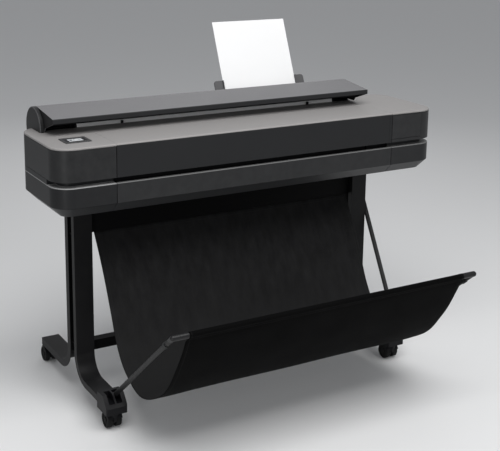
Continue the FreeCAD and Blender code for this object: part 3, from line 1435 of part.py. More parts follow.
machine = {
    "lower_end_right": lower_right,
    "lower_end_left": mirrored(lower_right),
    "upper_end_right": upper_end_right(),
    "upper_end_left": mirrored(upper_end()).cut(hump_space(hump_radius + hump_swing)),
    "lower_front": lower_front(),
    "rear_cover": rear_cover(),
    "top_cover": top_cover(),
    "front_lid": front_lid(),
    "hinge_pins": hinge_pins(),
    "ink_door": ink_door(),
    "roll_cover": roll_cover(),
    "roll_trough": roll_trough(),
    "roll_end_caps": roll_end_caps(),
    "spindle": spindle(),
    "media_roll": media_roll(),
    "sheet_tray": sheet_tray(),
    "sheet_guide_right": sheet_guide(),
    "sheet_guide_left": sheet_guide_left(),
    "sheet": sheet(),
    "leg_front_right": front_leg,
    "leg_front_left": mirrored(front_leg),
    "leg_rear_right": rear_leg,
    "leg_rear_left": mirrored(rear_leg),
    "upper_beam": tie(beam_low, beam_high, beam_wall),
    "cross_brace": tie(brace_low, brace_high, channel_wall),
    "stand_bolts": stand_bolts(),
    "foot_bracket_right": bracket,
    "foot_bracket_left": mirrored(bracket),
    "bin_stay": bin_stay(),
    "bin_arm_right": arm,
    "bin_arm_left": mirrored(arm),
    "bin_elbows": solids(elbow, mirrored(elbow)),
    "bin_bar": bin_bar(),
    "bin_fabric": bin_fabric(),
    "chassis": chassis(),
    "platen": platen(),
    "feed_roller": feed_roller(),
    "pinch_rollers": pinch_rollers(),
    "carriage_rod": rod_x(-plate_x - plate_wall, plate_x + plate_wall, rod_y, rod_z, rod_radius),
    "carriage": carriage(),
    "carriage_belt": carriage_belt(),
    "motor_pulley": pulley(motor_x),
    "idler_pulley": pulley(idler_x),
    "motors": motors(),
    "service_station": service_station(),
    "ink_cartridges": ink_cartridges(),
    "main_board": main_board(),
    "power_supply": power_supply(),
    "display_bezel": display_bezel(),
    "display_glass": display_glass(),
    "power_inlet": power_inlet(),
    "power_switch": power_switch(),
}
for place, stem_y, trail, seat in (("front", front_stem_y, front_trail, bracket_low),
                                   ("rear", rear_stem_y, rear_trail, rear_seat)):
    fork, wheels = caster_fork(stem_y, trail, seat), caster_wheels(stem_y, trail)
    machine["caster_fork_" + place + "_right"] = fork
    machine["caster_fork_" + place + "_left"] = mirrored(fork)
    machine["caster_wheels_" + place + "_right"] = wheels
    machine["caster_wheels_" + place + "_left"] = mirrored(wheels)

overall_front = bar_y - elbow_radius
overall_rear = rear_stem_y + rear_trail + wheel_radius
middle_y = (overall_front + overall_rear) / 2

os.makedirs("parts", exist_ok=True)
for node, shape in machine.items():
    shape.translate(Vector(0, -middle_y, 0))
    shape.exportStep("parts/" + node + ".step")
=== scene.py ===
# %% [markdown]
# # A wide roll plotter on a wheeled stand
#
# The imported model gives every hard piece at its real size. This lesson gives those pieces
# their finishes, softens their edges, and makes the soft and thin pieces that plain solids
# can't show: the hanging fabric bin, with its hems and stitches.
# Everything is in metres. +X is the machine's right, +Y its rear and +Z up from the floor.

# %% Load the frame
import json
import math

import bmesh
import bpy
from mathutils import Matrix, Vector, noise

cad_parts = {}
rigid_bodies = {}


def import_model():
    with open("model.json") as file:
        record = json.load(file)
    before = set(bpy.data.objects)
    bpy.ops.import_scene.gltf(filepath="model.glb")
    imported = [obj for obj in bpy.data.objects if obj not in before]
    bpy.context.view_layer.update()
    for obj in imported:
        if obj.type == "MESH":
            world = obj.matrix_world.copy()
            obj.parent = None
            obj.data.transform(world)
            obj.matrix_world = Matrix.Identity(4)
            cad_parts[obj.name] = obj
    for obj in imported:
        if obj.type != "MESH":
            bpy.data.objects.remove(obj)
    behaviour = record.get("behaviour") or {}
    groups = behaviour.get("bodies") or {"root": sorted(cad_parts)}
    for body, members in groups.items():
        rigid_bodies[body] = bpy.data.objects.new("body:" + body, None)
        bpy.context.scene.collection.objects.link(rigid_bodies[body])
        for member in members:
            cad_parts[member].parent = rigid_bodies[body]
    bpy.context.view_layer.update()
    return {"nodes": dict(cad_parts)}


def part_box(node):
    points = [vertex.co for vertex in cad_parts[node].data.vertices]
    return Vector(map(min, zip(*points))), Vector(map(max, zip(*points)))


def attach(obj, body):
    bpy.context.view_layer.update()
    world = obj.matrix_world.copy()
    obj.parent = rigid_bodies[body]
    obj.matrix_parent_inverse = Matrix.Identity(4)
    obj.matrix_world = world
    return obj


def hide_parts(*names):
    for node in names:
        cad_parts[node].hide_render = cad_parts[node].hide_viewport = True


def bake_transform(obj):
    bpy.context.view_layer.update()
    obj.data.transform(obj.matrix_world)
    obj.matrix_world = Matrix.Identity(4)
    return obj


for leftover in list(bpy.data.objects):
    bpy.data.objects.remove(leftover)
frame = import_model()
nodes = frame["nodes"]
scene = bpy.context.scene

# %% [markdown]
# ## Tools for node trees
#
# Every finish is a tree of shader nodes. A few short functions add a node, wire it and do
# sums with sockets, so that each later cell says only what is special about its finish.

# %% Tools for node trees
def wire(tree, output, target):
    tree.links.new(output, target)


def new_group(name, inputs, outputs):
    """An empty group with named float inputs, given as name: default, and named outputs."""
    group = bpy.data.node_groups.new(name, "ShaderNodeTree")
    group.interface.new_socket("Vector", in_out="INPUT", socket_type="NodeSocketVector")
    for label, value in inputs.items():
        socket = group.interface.new_socket(label, in_out="INPUT", socket_type="NodeSocketFloat")
        socket.default_value = value
    for label in outputs:
        group.interface.new_socket(label, in_out="OUTPUT", socket_type="NodeSocketFloat")
    start = group.nodes.new("NodeGroupInput")
    end = group.nodes.new("NodeGroupOutput")
    return group, start, end


def put(tree, kind, **settings):
    """Adds a node; settings whose names match its properties are set, and the rest are inputs."""
    node = tree.nodes.new(kind)
    for key, value in settings.items():
        if hasattr(node, key):
            setattr(node, key, value)
        else:
            node.inputs[key.replace("_", " ")].default_value = value
    return node


def arithmetic(tree, operation, a, b=None):
    """A Math node on sockets or plain numbers."""
    node = tree.nodes.new("ShaderNodeMath")
    node.operation = operation
    for index, value in enumerate((a, b)):
        if value is None:
            continue
        if isinstance(value, (int, float)):
            node.inputs[index].default_value = value
        else:
            tree.links.new(value, node.inputs[index])
    return node.outputs[0]


def put_group(tree, group, vector, **inputs):
    """Adds a node group that is fed by a vector, and sets its named inputs."""
    node = put(tree, "ShaderNodeGroup", node_tree=group, **inputs)
    wire(tree, vector, node.inputs["Vector"])
    return node


# %% [markdown]
# ## Camera, floor and light
#
# The machine is seen from its front left corner, from a little above eye height for someone
# seated. The camera is built from a place, three turns and a lens. Its matrix has the right,
# up and backward directions as columns, which is how any camera can be aimed exactly.

# %% Camera
camera_place = Vector((-1.61473, -2.73316, 1.52063))
camera_turn = 0.53185    # radians to the right of straight ahead
camera_tilt = 0.22564    # radians down
camera_roll = 0.01402
camera_lens = 76.549     # millimetres
camera_shift = -0.17     # of the picture's width

ahead = Vector((math.sin(camera_turn) * math.cos(camera_tilt),
                math.cos(camera_turn) * math.cos(camera_tilt),
                -math.sin(camera_tilt)))
level = Vector((math.cos(camera_turn), -math.sin(camera_turn), 0))
above = level.cross(ahead)
side = level * math.cos(camera_roll) + above * math.sin(camera_roll)
upward = above * math.cos(camera_roll) - level * math.sin(camera_roll)
camera = bpy.data.objects.new("camera", bpy.data.cameras.new("camera"))
camera.data.lens = camera_lens
camera.data.shift_y = camera_shift
axes = Matrix((side, upward, -ahead)).transposed().to_4x4()
camera.matrix_world = Matrix.Translation(camera_place) @ axes
camera.data.clip_end = 60
scene.collection.objects.link(camera)
scene.camera = camera
scene.view_settings.view_transform = "Standard"

# %% Floor
bpy.ops.mesh.primitive_plane_add(size=40, location=(0, 0, -0.0005))
floor = bpy.context.object
floor.name = "studio_floor"
# The floor looks pale, but it sends less light back up than it seems to: rays from the
# camera, and those that a glossy or clear surface passes on, see another tone than the rest.
floor_seen = (0.85, 0.85, 0.85, 1)
floor_bounce = (0.32, 0.32, 0.32, 1)
floor_material = bpy.data.materials.new("pale floor")
floor_material.use_nodes = True
tree = floor_material.node_tree
surface = tree.nodes["Principled BSDF"]
surface.inputs["Roughness"].default_value = 0.9
rays = put(tree, "ShaderNodeLightPath").outputs
direct = arithmetic(tree, "ADD", rays["Is Camera Ray"], rays["Is Glossy Ray"])
seen = arithmetic(tree, "ADD", direct, rays["Is Transmission Ray"])
seen.node.use_clamp = True
floor_tone = put(tree, "ShaderNodeMix", data_type="RGBA")
wire(tree, seen, floor_tone.inputs[0])
floor_tone.inputs[6].default_value = floor_bounce
floor_tone.inputs[7].default_value = floor_seen
wire(tree, floor_tone.outputs[2], surface.inputs["Base Color"])
floor.data.materials.append(floor_material)

# %% Lamps and surroundings
def softbox(name, place, aim, width, height, power):
    """A rectangular area lamp that looks from its place towards a point."""
    lamp = bpy.data.objects.new(name, bpy.data.lights.new(name, "AREA"))
    lamp.data.shape = "RECTANGLE"
    lamp.data.size = width
    lamp.data.size_y = height
    lamp.data.energy = power
    lamp.location = place
    towards = Vector(aim) - Vector(place)
    lamp.rotation_euler = towards.to_track_quat("-Z", "Y").to_euler()
    lamp.visible_camera = False
    scene.collection.objects.link(lamp)


softbox("overhead", (-0.2, -1.4, 3.2), (0, 0, 0.8), 3.6, 1.8, 88)
softbox("front_right", (2.2, -3.6, 2.4), (0, 0, 0.5), 1.8, 1.4, 10)
softbox("tall_left", (-2.7, -2.3, 0.7), (-0.6, 0, 0.75), 0.6, 2.2, 24)
softbox("behind", (1.6, 3.2, 1.9), (0, 0.2, 0.7), 1.8, 1.2, 8)

world = bpy.data.worlds.new("studio")
scene.world = world
world.use_nodes = True
sky = world.node_tree.nodes["Background"]
sky.inputs["Color"].default_value = (0.9, 0.92, 0.95, 1)
sky.inputs["Strength"].default_value = 0.34

# %% [markdown]
# ## Node groups for the effects that several finishes share
#
# Moulded covers, powder coat and cast parts all have a fine surface relief and a slight
# change of tone from place to place. One group makes the relief, and another the tone,
# so each finish only chooses its own scale and strength.

# %% Fine grain
def make_grain():
    """Height of a fine pebbled surface: cells for the pebbles and noise for their unevenness."""
    group, start, end = new_group("fine grain", {"Scale": 900.0, "Pebble": 0.6}, ["Height"])
    cells = put(group, "ShaderNodeTexVoronoi", feature="SMOOTH_F1")
    clouds = put(group, "ShaderNodeTexNoise", Detail=3.0)
    for node in (cells, clouds):
        wire(group, start.outputs["Vector"], node.inputs["Vector"])
        wire(group, start.outputs["Scale"], node.inputs["Scale"])
    pebbles = arithmetic(group, "MULTIPLY", cells.outputs["Distance"], start.outputs["Pebble"])
    wire(group, arithmetic(group, "ADD", pebbles, clouds.outputs["Fac"]), end.inputs["Height"])
    return group


grain_group = make_grain()


# %% Uneven tone
def make_tone():
    """A factor that drifts round 1, further with a larger Amount, for dusty surfaces."""
    group, start, end = new_group("uneven tone", {"Scale": 6.0, "Amount": 0.1}, ["Factor"])
    clouds = put(group, "ShaderNodeTexNoise", Detail=6.0, Roughness=0.6)
    wire(group, start.outputs["Vector"], clouds.inputs["Vector"])
    wire(group, start.outputs["Scale"], clouds.inputs["Scale"])
    centred = arithmetic(group, "SUBTRACT", clouds.outputs["Fac"], 0.5)
    scaled = arithmetic(group, "MULTIPLY", centred, start.outputs["Amount"])
    doubled = arithmetic(group, "MULTIPLY", scaled, 4.0)
    wire(group, arithmetic(group, "ADD", doubled, 1.0), end.inputs["Factor"])
    return group


tone_group = make_tone()


# %% Worn edges
def make_wear():
    """A mask that is 1 on sharp outward edges, broken up by noise."""
    group, start, end = new_group("worn edges", {"Reach": 0.54, "Scale": 40.0}, ["Mask"])
    shape = put(group, "ShaderNodeNewGeometry")
    clouds = put(group, "ShaderNodeTexNoise", Detail=5.0)
    wire(group, start.outputs["Vector"], clouds.inputs["Vector"])
    wire(group, start.outputs["Scale"], clouds.inputs["Scale"])
    edge = arithmetic(group, "SUBTRACT", shape.outputs["Pointiness"], start.outputs["Reach"])
    sharp = arithmetic(group, "MULTIPLY", edge, 14.0)
    broken = arithmetic(group, "MULTIPLY", sharp, clouds.outputs["Fac"])
    limited = put(group, "ShaderNodeClamp")
    wire(group, broken, limited.inputs["Value"])
    wire(group, limited.outputs[0], end.inputs["Mask"])
    return group


wear_group = make_wear()


# %% [markdown]
# ## Finishes
#
# Each finish is one function that returns a material. They all begin with a colour that
# varies a little, and end with a relief whose height feeds a Bump node.

# %% A finish's common start
def finish(name, colour, roughness, tone=0.06, tone_scale=5.0, grain=900.0, relief=0.02,
           metallic=0.0, specular=0.5, wear=0.0, wear_colour=(0.3, 0.3, 0.3), edge=0.8):
    """A surface with uneven tone, fine relief, slightly round edges and some wear on them.

    Relief and edge, the edges' rounding, are in millimetres.
    """
    material = bpy.data.materials.new(name)
    material.use_nodes = True
    tree = material.node_tree
    surface = tree.nodes["Principled BSDF"]
    surface.inputs["Metallic"].default_value = metallic
    surface.inputs["Specular IOR Level"].default_value = specular
    place = put(tree, "ShaderNodeTexCoord").outputs["Object"]
    tones = put_group(tree, tone_group, place, Scale=tone_scale, Amount=tone)
    mixed = put(tree, "ShaderNodeMix", data_type="RGBA", blend_type="MULTIPLY")
    mixed.inputs["Factor"].default_value = 1.0
    mixed.inputs["A"].default_value = (*colour, 1)
    wire(tree, tones.outputs["Factor"], mixed.inputs["B"])
    last = mixed.outputs["Result"]
    if wear:
        worn = put_group(tree, wear_group, place)
        blend = put(tree, "ShaderNodeMix", data_type="RGBA")
        amount = arithmetic(tree, "MULTIPLY", worn.outputs["Mask"], wear)
        wire(tree, amount, blend.inputs["Factor"])
        wire(tree, last, blend.inputs["A"])
        blend.inputs["B"].default_value = (*wear_colour, 1)
        last = blend.outputs["Result"]
    wire(tree, last, surface.inputs["Base Color"])
    rough = arithmetic(tree, "MULTIPLY", tones.outputs["Factor"], roughness)
    wire(tree, rough, surface.inputs["Roughness"])
    grains = put_group(tree, grain_group, place, Scale=grain)
    rounding = put(tree, "ShaderNodeBevel", samples=6, Radius=edge / 1000)
    bump = put(tree, "ShaderNodeBump", Strength=1.0, Distance=relief / 1000)
    wire(tree, rounding.outputs["Normal"], bump.inputs["Normal"])
    wire(tree, grains.outputs["Height"], bump.inputs["Height"])
    wire(tree, bump.outputs["Normal"], surface.inputs["Normal"])
    return material


# %% Masks by place, and a second tone
def beyond(tree, value, limit, soft=0.0005):
    """A mask that turns from 0 to 1 where a coordinate passes a limit, softly."""
    node = put(tree, "ShaderNodeMapRange", interpolation_type="SMOOTHSTEP")
    wire(tree, value, node.inputs["Value"])
    node.inputs["From Min"].default_value = limit - soft
    node.inputs["From Max"].default_value = limit + soft
    return node.outputs["Result"]


def short_of(tree, value, limit, soft=0.0005):
    """The opposite mask: 1 up to the limit and 0 past it."""
    return arithmetic(tree, "SUBTRACT", 1.0, beyond(tree, value, limit, soft))


def within(tree, value, middle, half, soft=0.0005):
    """A mask that is 1 within a distance of a middle value."""
    offset = arithmetic(tree, "ABSOLUTE", arithmetic(tree, "SUBTRACT", value, middle))
    return short_of(tree, offset, half, soft)


def coordinates(material):
    """The X, Y and Z of the point on the piece, in metres."""
    tree = material.node_tree
    split = put(tree, "ShaderNodeSeparateXYZ")
    wire(tree, put(tree, "ShaderNodeTexCoord").outputs["Object"], split.inputs[0])
    return tree, split.outputs["X"], split.outputs["Y"], split.outputs["Z"]


def second_tone(material, mask, colour, roughness):
    """Lays another colour and roughness over a finish where the mask is 1."""
    tree = material.node_tree
    surface = tree.nodes["Principled BSDF"]
    blend = put(tree, "ShaderNodeMix", data_type="RGBA")
    wire(tree, surface.inputs["Base Color"].links[0].from_socket, blend.inputs[6])
    blend.inputs[7].default_value = (*colour, 1)
    wire(tree, mask, blend.inputs[0])
    wire(tree, blend.outputs[2], surface.inputs["Base Color"])
    rough = put(tree, "ShaderNodeMix", data_type="FLOAT")
    wire(tree, surface.inputs["Roughness"].links[0].from_socket, rough.inputs[2])
    rough.inputs[3].default_value = roughness
    wire(tree, mask, rough.inputs[0])
    wire(tree, rough.outputs[0], surface.inputs["Roughness"])


# %% Moulded covers
graphite_colour = (0.018, 0.0185, 0.0197)
deck_colour = (0.305, 0.294, 0.289)
graphite_wear = {"wear": 0.2, "wear_colour": (0.09, 0.09, 0.09)}
graphite = finish("graphite cover", graphite_colour, 0.38, specular=0.25, **graphite_wear)
# Painted shade: a darker, less glossy copy of the graphite for the upper left end only, so the left
# side renders darker.
shaded_left_side_finish = finish("shaded_matt graphite cover", (0.0165, 0.017, 0.018), 0.42, specular=0.17,
                    **graphite_wear)
deck_grey = finish("warm grey deck", deck_colour, 0.55, tone=0.03, relief=0.012, specular=0.3)
black_plastic = finish("black plastic", (0.005, 0.005, 0.006), 0.5, specular=0.2)
bezel_grey = finish("dark grey plastic", (0.075, 0.075, 0.077), 0.4, specular=0.3, relief=0.01)
guide_grey = finish("light grey plastic", (0.095, 0.094, 0.097), 0.5, specular=0.3)

# %% Metal and rubber
powder_coat = finish("black powder coat", (0.0045, 0.0045, 0.005), 0.5, grain=420.0, relief=0.05,
                     specular=0.2, wear=0.15, wear_colour=(0.06, 0.06, 0.06))
# Painted shade: a darker copy of the black powder coat for the beam and brace, which hang in shade
# under the cabinet.
shaded_coat = finish("shaded_matt black powder coat", (0.003, 0.003, 0.0032), 0.6, grain=420.0,
                     relief=0.05, specular=0.08)
stay_coat = finish("grey powder coat", (0.026, 0.026, 0.027), 0.5, grain=420.0, specular=0.3)
arm_coat = finish("dark grey paint", (0.02, 0.02, 0.021), 0.45, grain=500.0, specular=0.25)
steel = finish("zinc plated steel", (0.55, 0.55, 0.56), 0.32, metallic=1.0, tone=0.1)
rubber = finish("grey rubber tyre", (0.012, 0.012, 0.012), 0.75, grain=600.0, relief=0.04,
                specular=0.2)
black_rubber = finish("black rubber", (0.01, 0.01, 0.01), 0.8, specular=0.2)
board_green = finish("circuit board", (0.01, 0.1, 0.035), 0.35)
paper_white = finish("paper", (0.88, 0.88, 0.88), 0.85, tone=0.01, grain=1500.0, relief=0.006)

# %% [markdown]
# ## Pieces of two tones
#
# The lid is one moulding, grey on top like the deck round it, a painted lighter top where the
# overhead light falls, and graphite in front. A mask on its height switches between the two. The
# arm's collar, the elbow's stub, darkened as a painted shade, and the display's lit area are masks
# by place too, so they need no pieces of their own.

# %% Lid
lid_finish = finish("lid, graphite with a grey top", graphite_colour, 0.38, specular=0.25)
lid_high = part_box("front_lid")[1]
lit_top_depth = 0.0045        # how far the grey top, a painted lighter top, reaches down
line_depth = 0.005         # a dark upright line near the lid's right end starts below this
line_inset, line_half = 0.0095, 0.0006
tree, x, _, z = coordinates(lid_finish)
# Painted light: the top of the lid is painted the deck's grey where the overhead light falls on it.
second_tone(lid_finish, beyond(tree, z, lid_high[2] - lit_top_depth), deck_colour, 0.55)
side_line = arithmetic(tree, "MULTIPLY", within(tree, x, lid_high[0] - line_inset, line_half),
                       short_of(tree, z, lid_high[2] - line_depth))
second_tone(lid_finish, side_line, (0.004, 0.004, 0.004), 0.6)
print("lid", [round(v, 3) for v in lid_high])

# %% Roll cover
cover_finish = finish("roll cover, grey with dark ends", (0.18, 0.178, 0.184), 0.55, tone=0.03,
                      relief=0.012, specular=0.3)
cover_low, cover_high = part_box("roll_cover")
front_shade_skin = 0.0016                     # the front face is painted graphite, a painted shade where it faces forward and down
left_shade_skin, right_shade_skin = 0.0008, 0.0034  # the two ends are painted nearly black, a painted shade
pale_top = 0.031                        # but the right end stays grey this far down, above its painted shade
tree, x, y, z = coordinates(cover_finish)
# Painted shade: the grey cover's front face and ends are painted dark where shade falls on them.
cover_front_shade = short_of(tree, y, cover_low[1] + front_shade_skin, 0.0006)
cover_left_shade = short_of(tree, x, cover_low[0] + left_shade_skin, 0.0003)
cover_right_shade = beyond(tree, x, cover_high[0] - right_shade_skin, 0.0003)
under = short_of(tree, z, cover_high[2] - pale_top, 0.0006)
cover_right_shade = arithmetic(tree, "MULTIPLY", cover_right_shade, under)
second_tone(cover_finish, cover_front_shade, graphite_colour, 0.45)
ends = arithmetic(tree, "MAXIMUM", cover_left_shade, cover_right_shade)
second_tone(cover_finish, ends, (0.005, 0.005, 0.0055), 0.65)

# %% Round end caps
cap_finish = finish("graphite cap with a pale rim", (0.012, 0.0125, 0.013), 0.42, specular=0.2)
cap_low, cap_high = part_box("roll_end_caps")
cap_radius = (cap_high[1] - cap_low[1]) / 2
highlight_inset, highlight_half = 0.0016, 0.0013
tree, _, y, z = coordinates(cap_finish)
across = arithmetic(tree, "SUBTRACT", y, cap_low[1] + cap_radius)
up = arithmetic(tree, "SUBTRACT", z, cap_high[2] - cap_radius)
square = arithmetic(tree, "ADD", arithmetic(tree, "MULTIPLY", across, across),
                    arithmetic(tree, "MULTIPLY", up, up))
from_axis = arithmetic(tree, "SQRT", square)
# Painted highlight: a pale ring just inside the cap's rim, where its round edge catches the light.
cap_rim_highlight = within(tree, from_axis, cap_radius - highlight_inset, highlight_half, 0.0005)
second_tone(cap_finish, cap_rim_highlight, (0.09, 0.09, 0.092), 0.4)
print("caps", round(cap_radius, 4))

# %% Lower covers
lower_low, lower_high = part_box("lower_front")
chamfer_height = 0.0285
lip_highlight_depth, lip_highlight_half = 0.0006, 0.0012


def lower_cover(name, roughness, specular, lip_highlight_tone):
    """Graphite with a paler chamfer below, a painted floor reflection, and a pale rim above, a
    painted highlight.
    """
    material = finish(name, graphite_colour, roughness, specular=specular, **graphite_wear)
    tree, _, _, z = coordinates(material)
    # Painted reflection: the chamfer is painted paler where it faces the floor.
    chamfer = short_of(tree, z, lower_low[2] + chamfer_height, 0.001)
    second_tone(material, chamfer, (0.052, 0.053, 0.055), 0.4)
    # Painted highlight: a pale line along the top edge, the slot's lower lip.
    rim = within(tree, z, lower_high[2] - lip_highlight_depth, lip_highlight_half, 0.0004)
    second_tone(material, rim, (lip_highlight_tone, lip_highlight_tone, lip_highlight_tone), 0.4)
    return material


lower_finish = lower_cover("graphite cover with a paler lower edge", 0.38, 0.25, 0.15)
# Painted shade: a less glossy copy for the lower left end, with a brighter painted highlight on its
# rim.
shaded_left_lower_finish = lower_cover("shaded_matt graphite cover with a paler lower edge", 0.42, 0.17, 0.3)
print("lower covers", [round(v, 3) for v in lower_low])

# %% Arms and elbows
arm_finish = finish("dark grey paint with a black collar", (0.01, 0.01, 0.0105), 0.45, grain=500.0,
                    specular=0.25)
arm_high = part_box("bin_arm_left")[1]
collar_height = 0.022
tree, _, _, z = coordinates(arm_finish)
collar = beyond(tree, z, arm_high[2] - collar_height)
second_tone(arm_finish, collar, (0.009, 0.0105, 0.011), 0.5)
elbow_finish = finish("elbow plastic with a black stub", (0.012, 0.012, 0.0125), 0.35, specular=0.3)
elbow_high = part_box("bin_elbows")[1]
stub_start = 0.0215        # below the elbow's top
tree, _, _, z = coordinates(elbow_finish)
# Painted shade: the stub below the bend is painted darker, as the shadow there.
stub = short_of(tree, z, elbow_high[2] - stub_start)
second_tone(elbow_finish, stub, (0.006, 0.006, 0.006), 0.5)

# %% Display
def rectangle(tree, x, y, middle, half_width, half_height):
    """A mask of a rectangle round a middle point, seen from above."""
    return arithmetic(tree, "MULTIPLY", within(tree, x, middle[0], half_width, 0.0003),
                      within(tree, y, middle[1], half_height, 0.0003))


screen = finish("display glass", (0.06, 0.06, 0.062), 0.12, tone=0.01, relief=0.0, edge=0.4)
glass_low, glass_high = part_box("display_glass")
screen_middle = ((glass_low[0] + glass_high[0]) / 2, (glass_low[1] + glass_high[1]) / 2)
lit_half_width, lit_half_height = 0.0205, 0.0135
icon_row = screen_middle[1] + 0.001
icons = (                  # offset from the middle, half width, half height
    (-0.0125, 0.004, 0.005),
    (-0.0035, 0.0018, 0.003),
    (0.012, 0.0045, 0.0016),
)
tree, x, y, _ = coordinates(screen)
lit = rectangle(tree, x, y, screen_middle, lit_half_width, lit_half_height)
second_tone(screen, lit, (0.8, 0.82, 0.84), 0.12)
for shift, half_width, half_height in icons:
    icon = rectangle(tree, x, y, (screen_middle[0] + shift, icon_row), half_width, half_height)
    second_tone(screen, icon, (0.08, 0.085, 0.1), 0.12)

# %% Which node has which finish
finishes = {
    shaded_left_side_finish: ["upper_end_left"],
    graphite: ["upper_end_right", "ink_door", "rear_cover"],
    cap_finish: ["roll_end_caps"],
    shaded_left_lower_finish: ["lower_end_left"],
    lower_finish: ["lower_end_right", "lower_front"],
    cover_finish: ["roll_cover"],
    lid_finish: ["front_lid"],
    deck_grey: ["top_cover"],
    powder_coat: ["leg_front_left", "leg_front_right", "leg_rear_left", "leg_rear_right"],
    shaded_coat: ["upper_beam", "cross_brace"],
    stay_coat: ["bin_stay"],
    arm_finish: ["bin_arm_left", "bin_arm_right"],
    arm_coat: ["bin_bar"],
    elbow_finish: ["bin_elbows"],
    guide_grey: ["sheet_guide_left", "sheet_guide_right"],
    steel: ["hinge_pins", "carriage_rod", "chassis", "motors", "power_supply", "stand_bolts"],
    rubber: [name for name in nodes if name.startswith("caster_wheels")],
    black_rubber: ["feed_roller", "pinch_rollers", "carriage_belt"],
    board_green: ["main_board"],
    paper_white: ["media_roll", "sheet"],
    screen: ["display_glass"],
    bezel_grey: ["display_bezel"],
}
given = {name for names in finishes.values() for name in names}
finishes[black_plastic] = [name for name in nodes if name not in given]
for material, names in finishes.items():
    for name in names:
        nodes[name].data.materials.clear()
        nodes[name].data.materials.append(material)
print("finishes", len(finishes))

# %% [markdown]
# ## The fabric bin
#
# The bin is one strip of thin nylon. It is fixed under the beam, falls into a trough and
# rises to the bar, where its end is turned round the bar and sewn back to itself. Its side
# view is a line, so the line is drawn first, from the places of beam and bar. A grid is then
# laid along it, a little wrinkled, and Solidify gives it a thickness that doubles at the hems.

# %% The line that it hangs in
beam_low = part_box("upper_beam")[0]
cloth_low, cloth_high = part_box("bin_fabric")
bar_low, bar_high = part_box("bin_bar")
bar = (Vector(bar_low) + Vector(bar_high)) / 2
bar.x = 0
behind_beam_front, below_beam = 0.003, 0.001
trough_reach = 0.298       # from the beam to the lowest point
trough_lift = 0.0015       # the line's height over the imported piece's underside
seam_angle = math.radians(22)
seam_distance = 0.0111     # from the bar's middle
top_edge = Vector((0, beam_low[1] + behind_beam_front, beam_low[2] - below_beam))
trough = Vector((0, top_edge.y - trough_reach, cloth_low[2] + trough_lift))
seam = bar + Vector((0, math.sin(seam_angle), -math.cos(seam_angle))) * seam_distance

# Points on the way down and up, as shares of the distance across and of the height.
falling = ((0.21, 0.25), (0.39, 0.51), (0.51, 0.73), (0.70, 0.90))
rising = ((0.29, 0.07), (0.59, 0.27), (0.815, 0.59), (0.967, 0.905))
line = [top_edge]
for across, down in falling:
    line.append(Vector((0, top_edge.y + across * (trough.y - top_edge.y),
                        top_edge.z + down * (trough.z - top_edge.z))))
line.append(trough)
for across, up in rising:
    line.append(Vector((0, trough.y + across * (seam.y - trough.y),
                        trough.z + up * (seam.z - trough.z))))
line.append(seam)

# Cutting every corner off four times turns the points into a smooth curve.
for smoothing in range(4):
    cut = [line[0]]
    for a, b in zip(line, line[1:]):
        cut += [a.lerp(b, 0.25), a.lerp(b, 0.75)]
    line = cut + [line[-1]]
panel_length = sum((b - a).length for a, b in zip(line, line[1:]))
print("panel", round(panel_length, 3))

# %% Round the bar and back
wrap_radius = 0.008        # of the cloth's middle round the bar
wrap_steps = 32
turned_back = 0.014        # length sewn down inside
layer_gap = 0.0018         # between the layers there
rise = (line[-1] - line[-5]).normalized()
leave = math.acos(wrap_radius / (seam - bar).length)
down_angle = seam_angle - math.pi / 2
first, last = down_angle - leave, down_angle + leave - 2 * math.pi
for step in range(wrap_steps + 1):
    angle = first + (last - first) * step / wrap_steps
    line.append(bar + Vector((0, math.cos(angle), math.sin(angle))) * wrap_radius)
inside = Vector((0, rise.z, -rise.y)) * layer_gap
line += [seam + inside, seam + inside - rise * turned_back]
distances = [0.0]
for a, b in zip(line, line[1:]):
    distances.append(distances[-1] + (b - a).length)
cloth_length = distances[-1]
print("cloth", round(cloth_length, 3))


def along_line(distance):
    """Point of the line at a distance from its upper end, and the direction there."""
    for i in range(1, len(line)):
        if distance <= distances[i] or i == len(line) - 1:
            share = (distance - distances[i - 1]) / (distances[i] - distances[i - 1])
            return line[i - 1].lerp(line[i], share), (line[i] - line[i - 1]).normalized()


# %% Wrinkles
held_length = 0.10         # the cloth is flat at its fixed ends and loose this far from them
rear_length = 0.62         # streaks and creases fade out over this length
streak_depth, crease_depth, wave_depth = 0.0013, 0.0007, 0.0050
loose_from, loose_width = 0.40, 0.062
flutter_depth = 0.004


def wrinkle(x, distance):
    """How far the cloth stands off its line: upright streaks behind, broad waves in front."""
    before_seam = max(panel_length - distance, 0)
    held = min(distance / held_length, 1.0) * min(before_seam / held_length, 1.0)
    behind = max(0.0, 1.0 - distance / rear_length)
    streaks = noise.noise(Vector((x * 16, distance * 2.4, 1.5))) * streak_depth * behind
    creases = noise.noise(Vector((x * 38, distance * 7.0, 8.5))) * crease_depth * behind
    waves = noise.noise(Vector((x * 3.3, distance * 5.0, 4.2))) * wave_depth
    edge = max(0.0, abs(x) - loose_from) / loose_width
    along_edge = noise.noise(Vector((math.copysign(9, x), distance * 9.0, 2.2)))
    flutter = (0.5 + along_edge) * flutter_depth
    return held * (streaks + creases + waves + edge * edge * flutter)


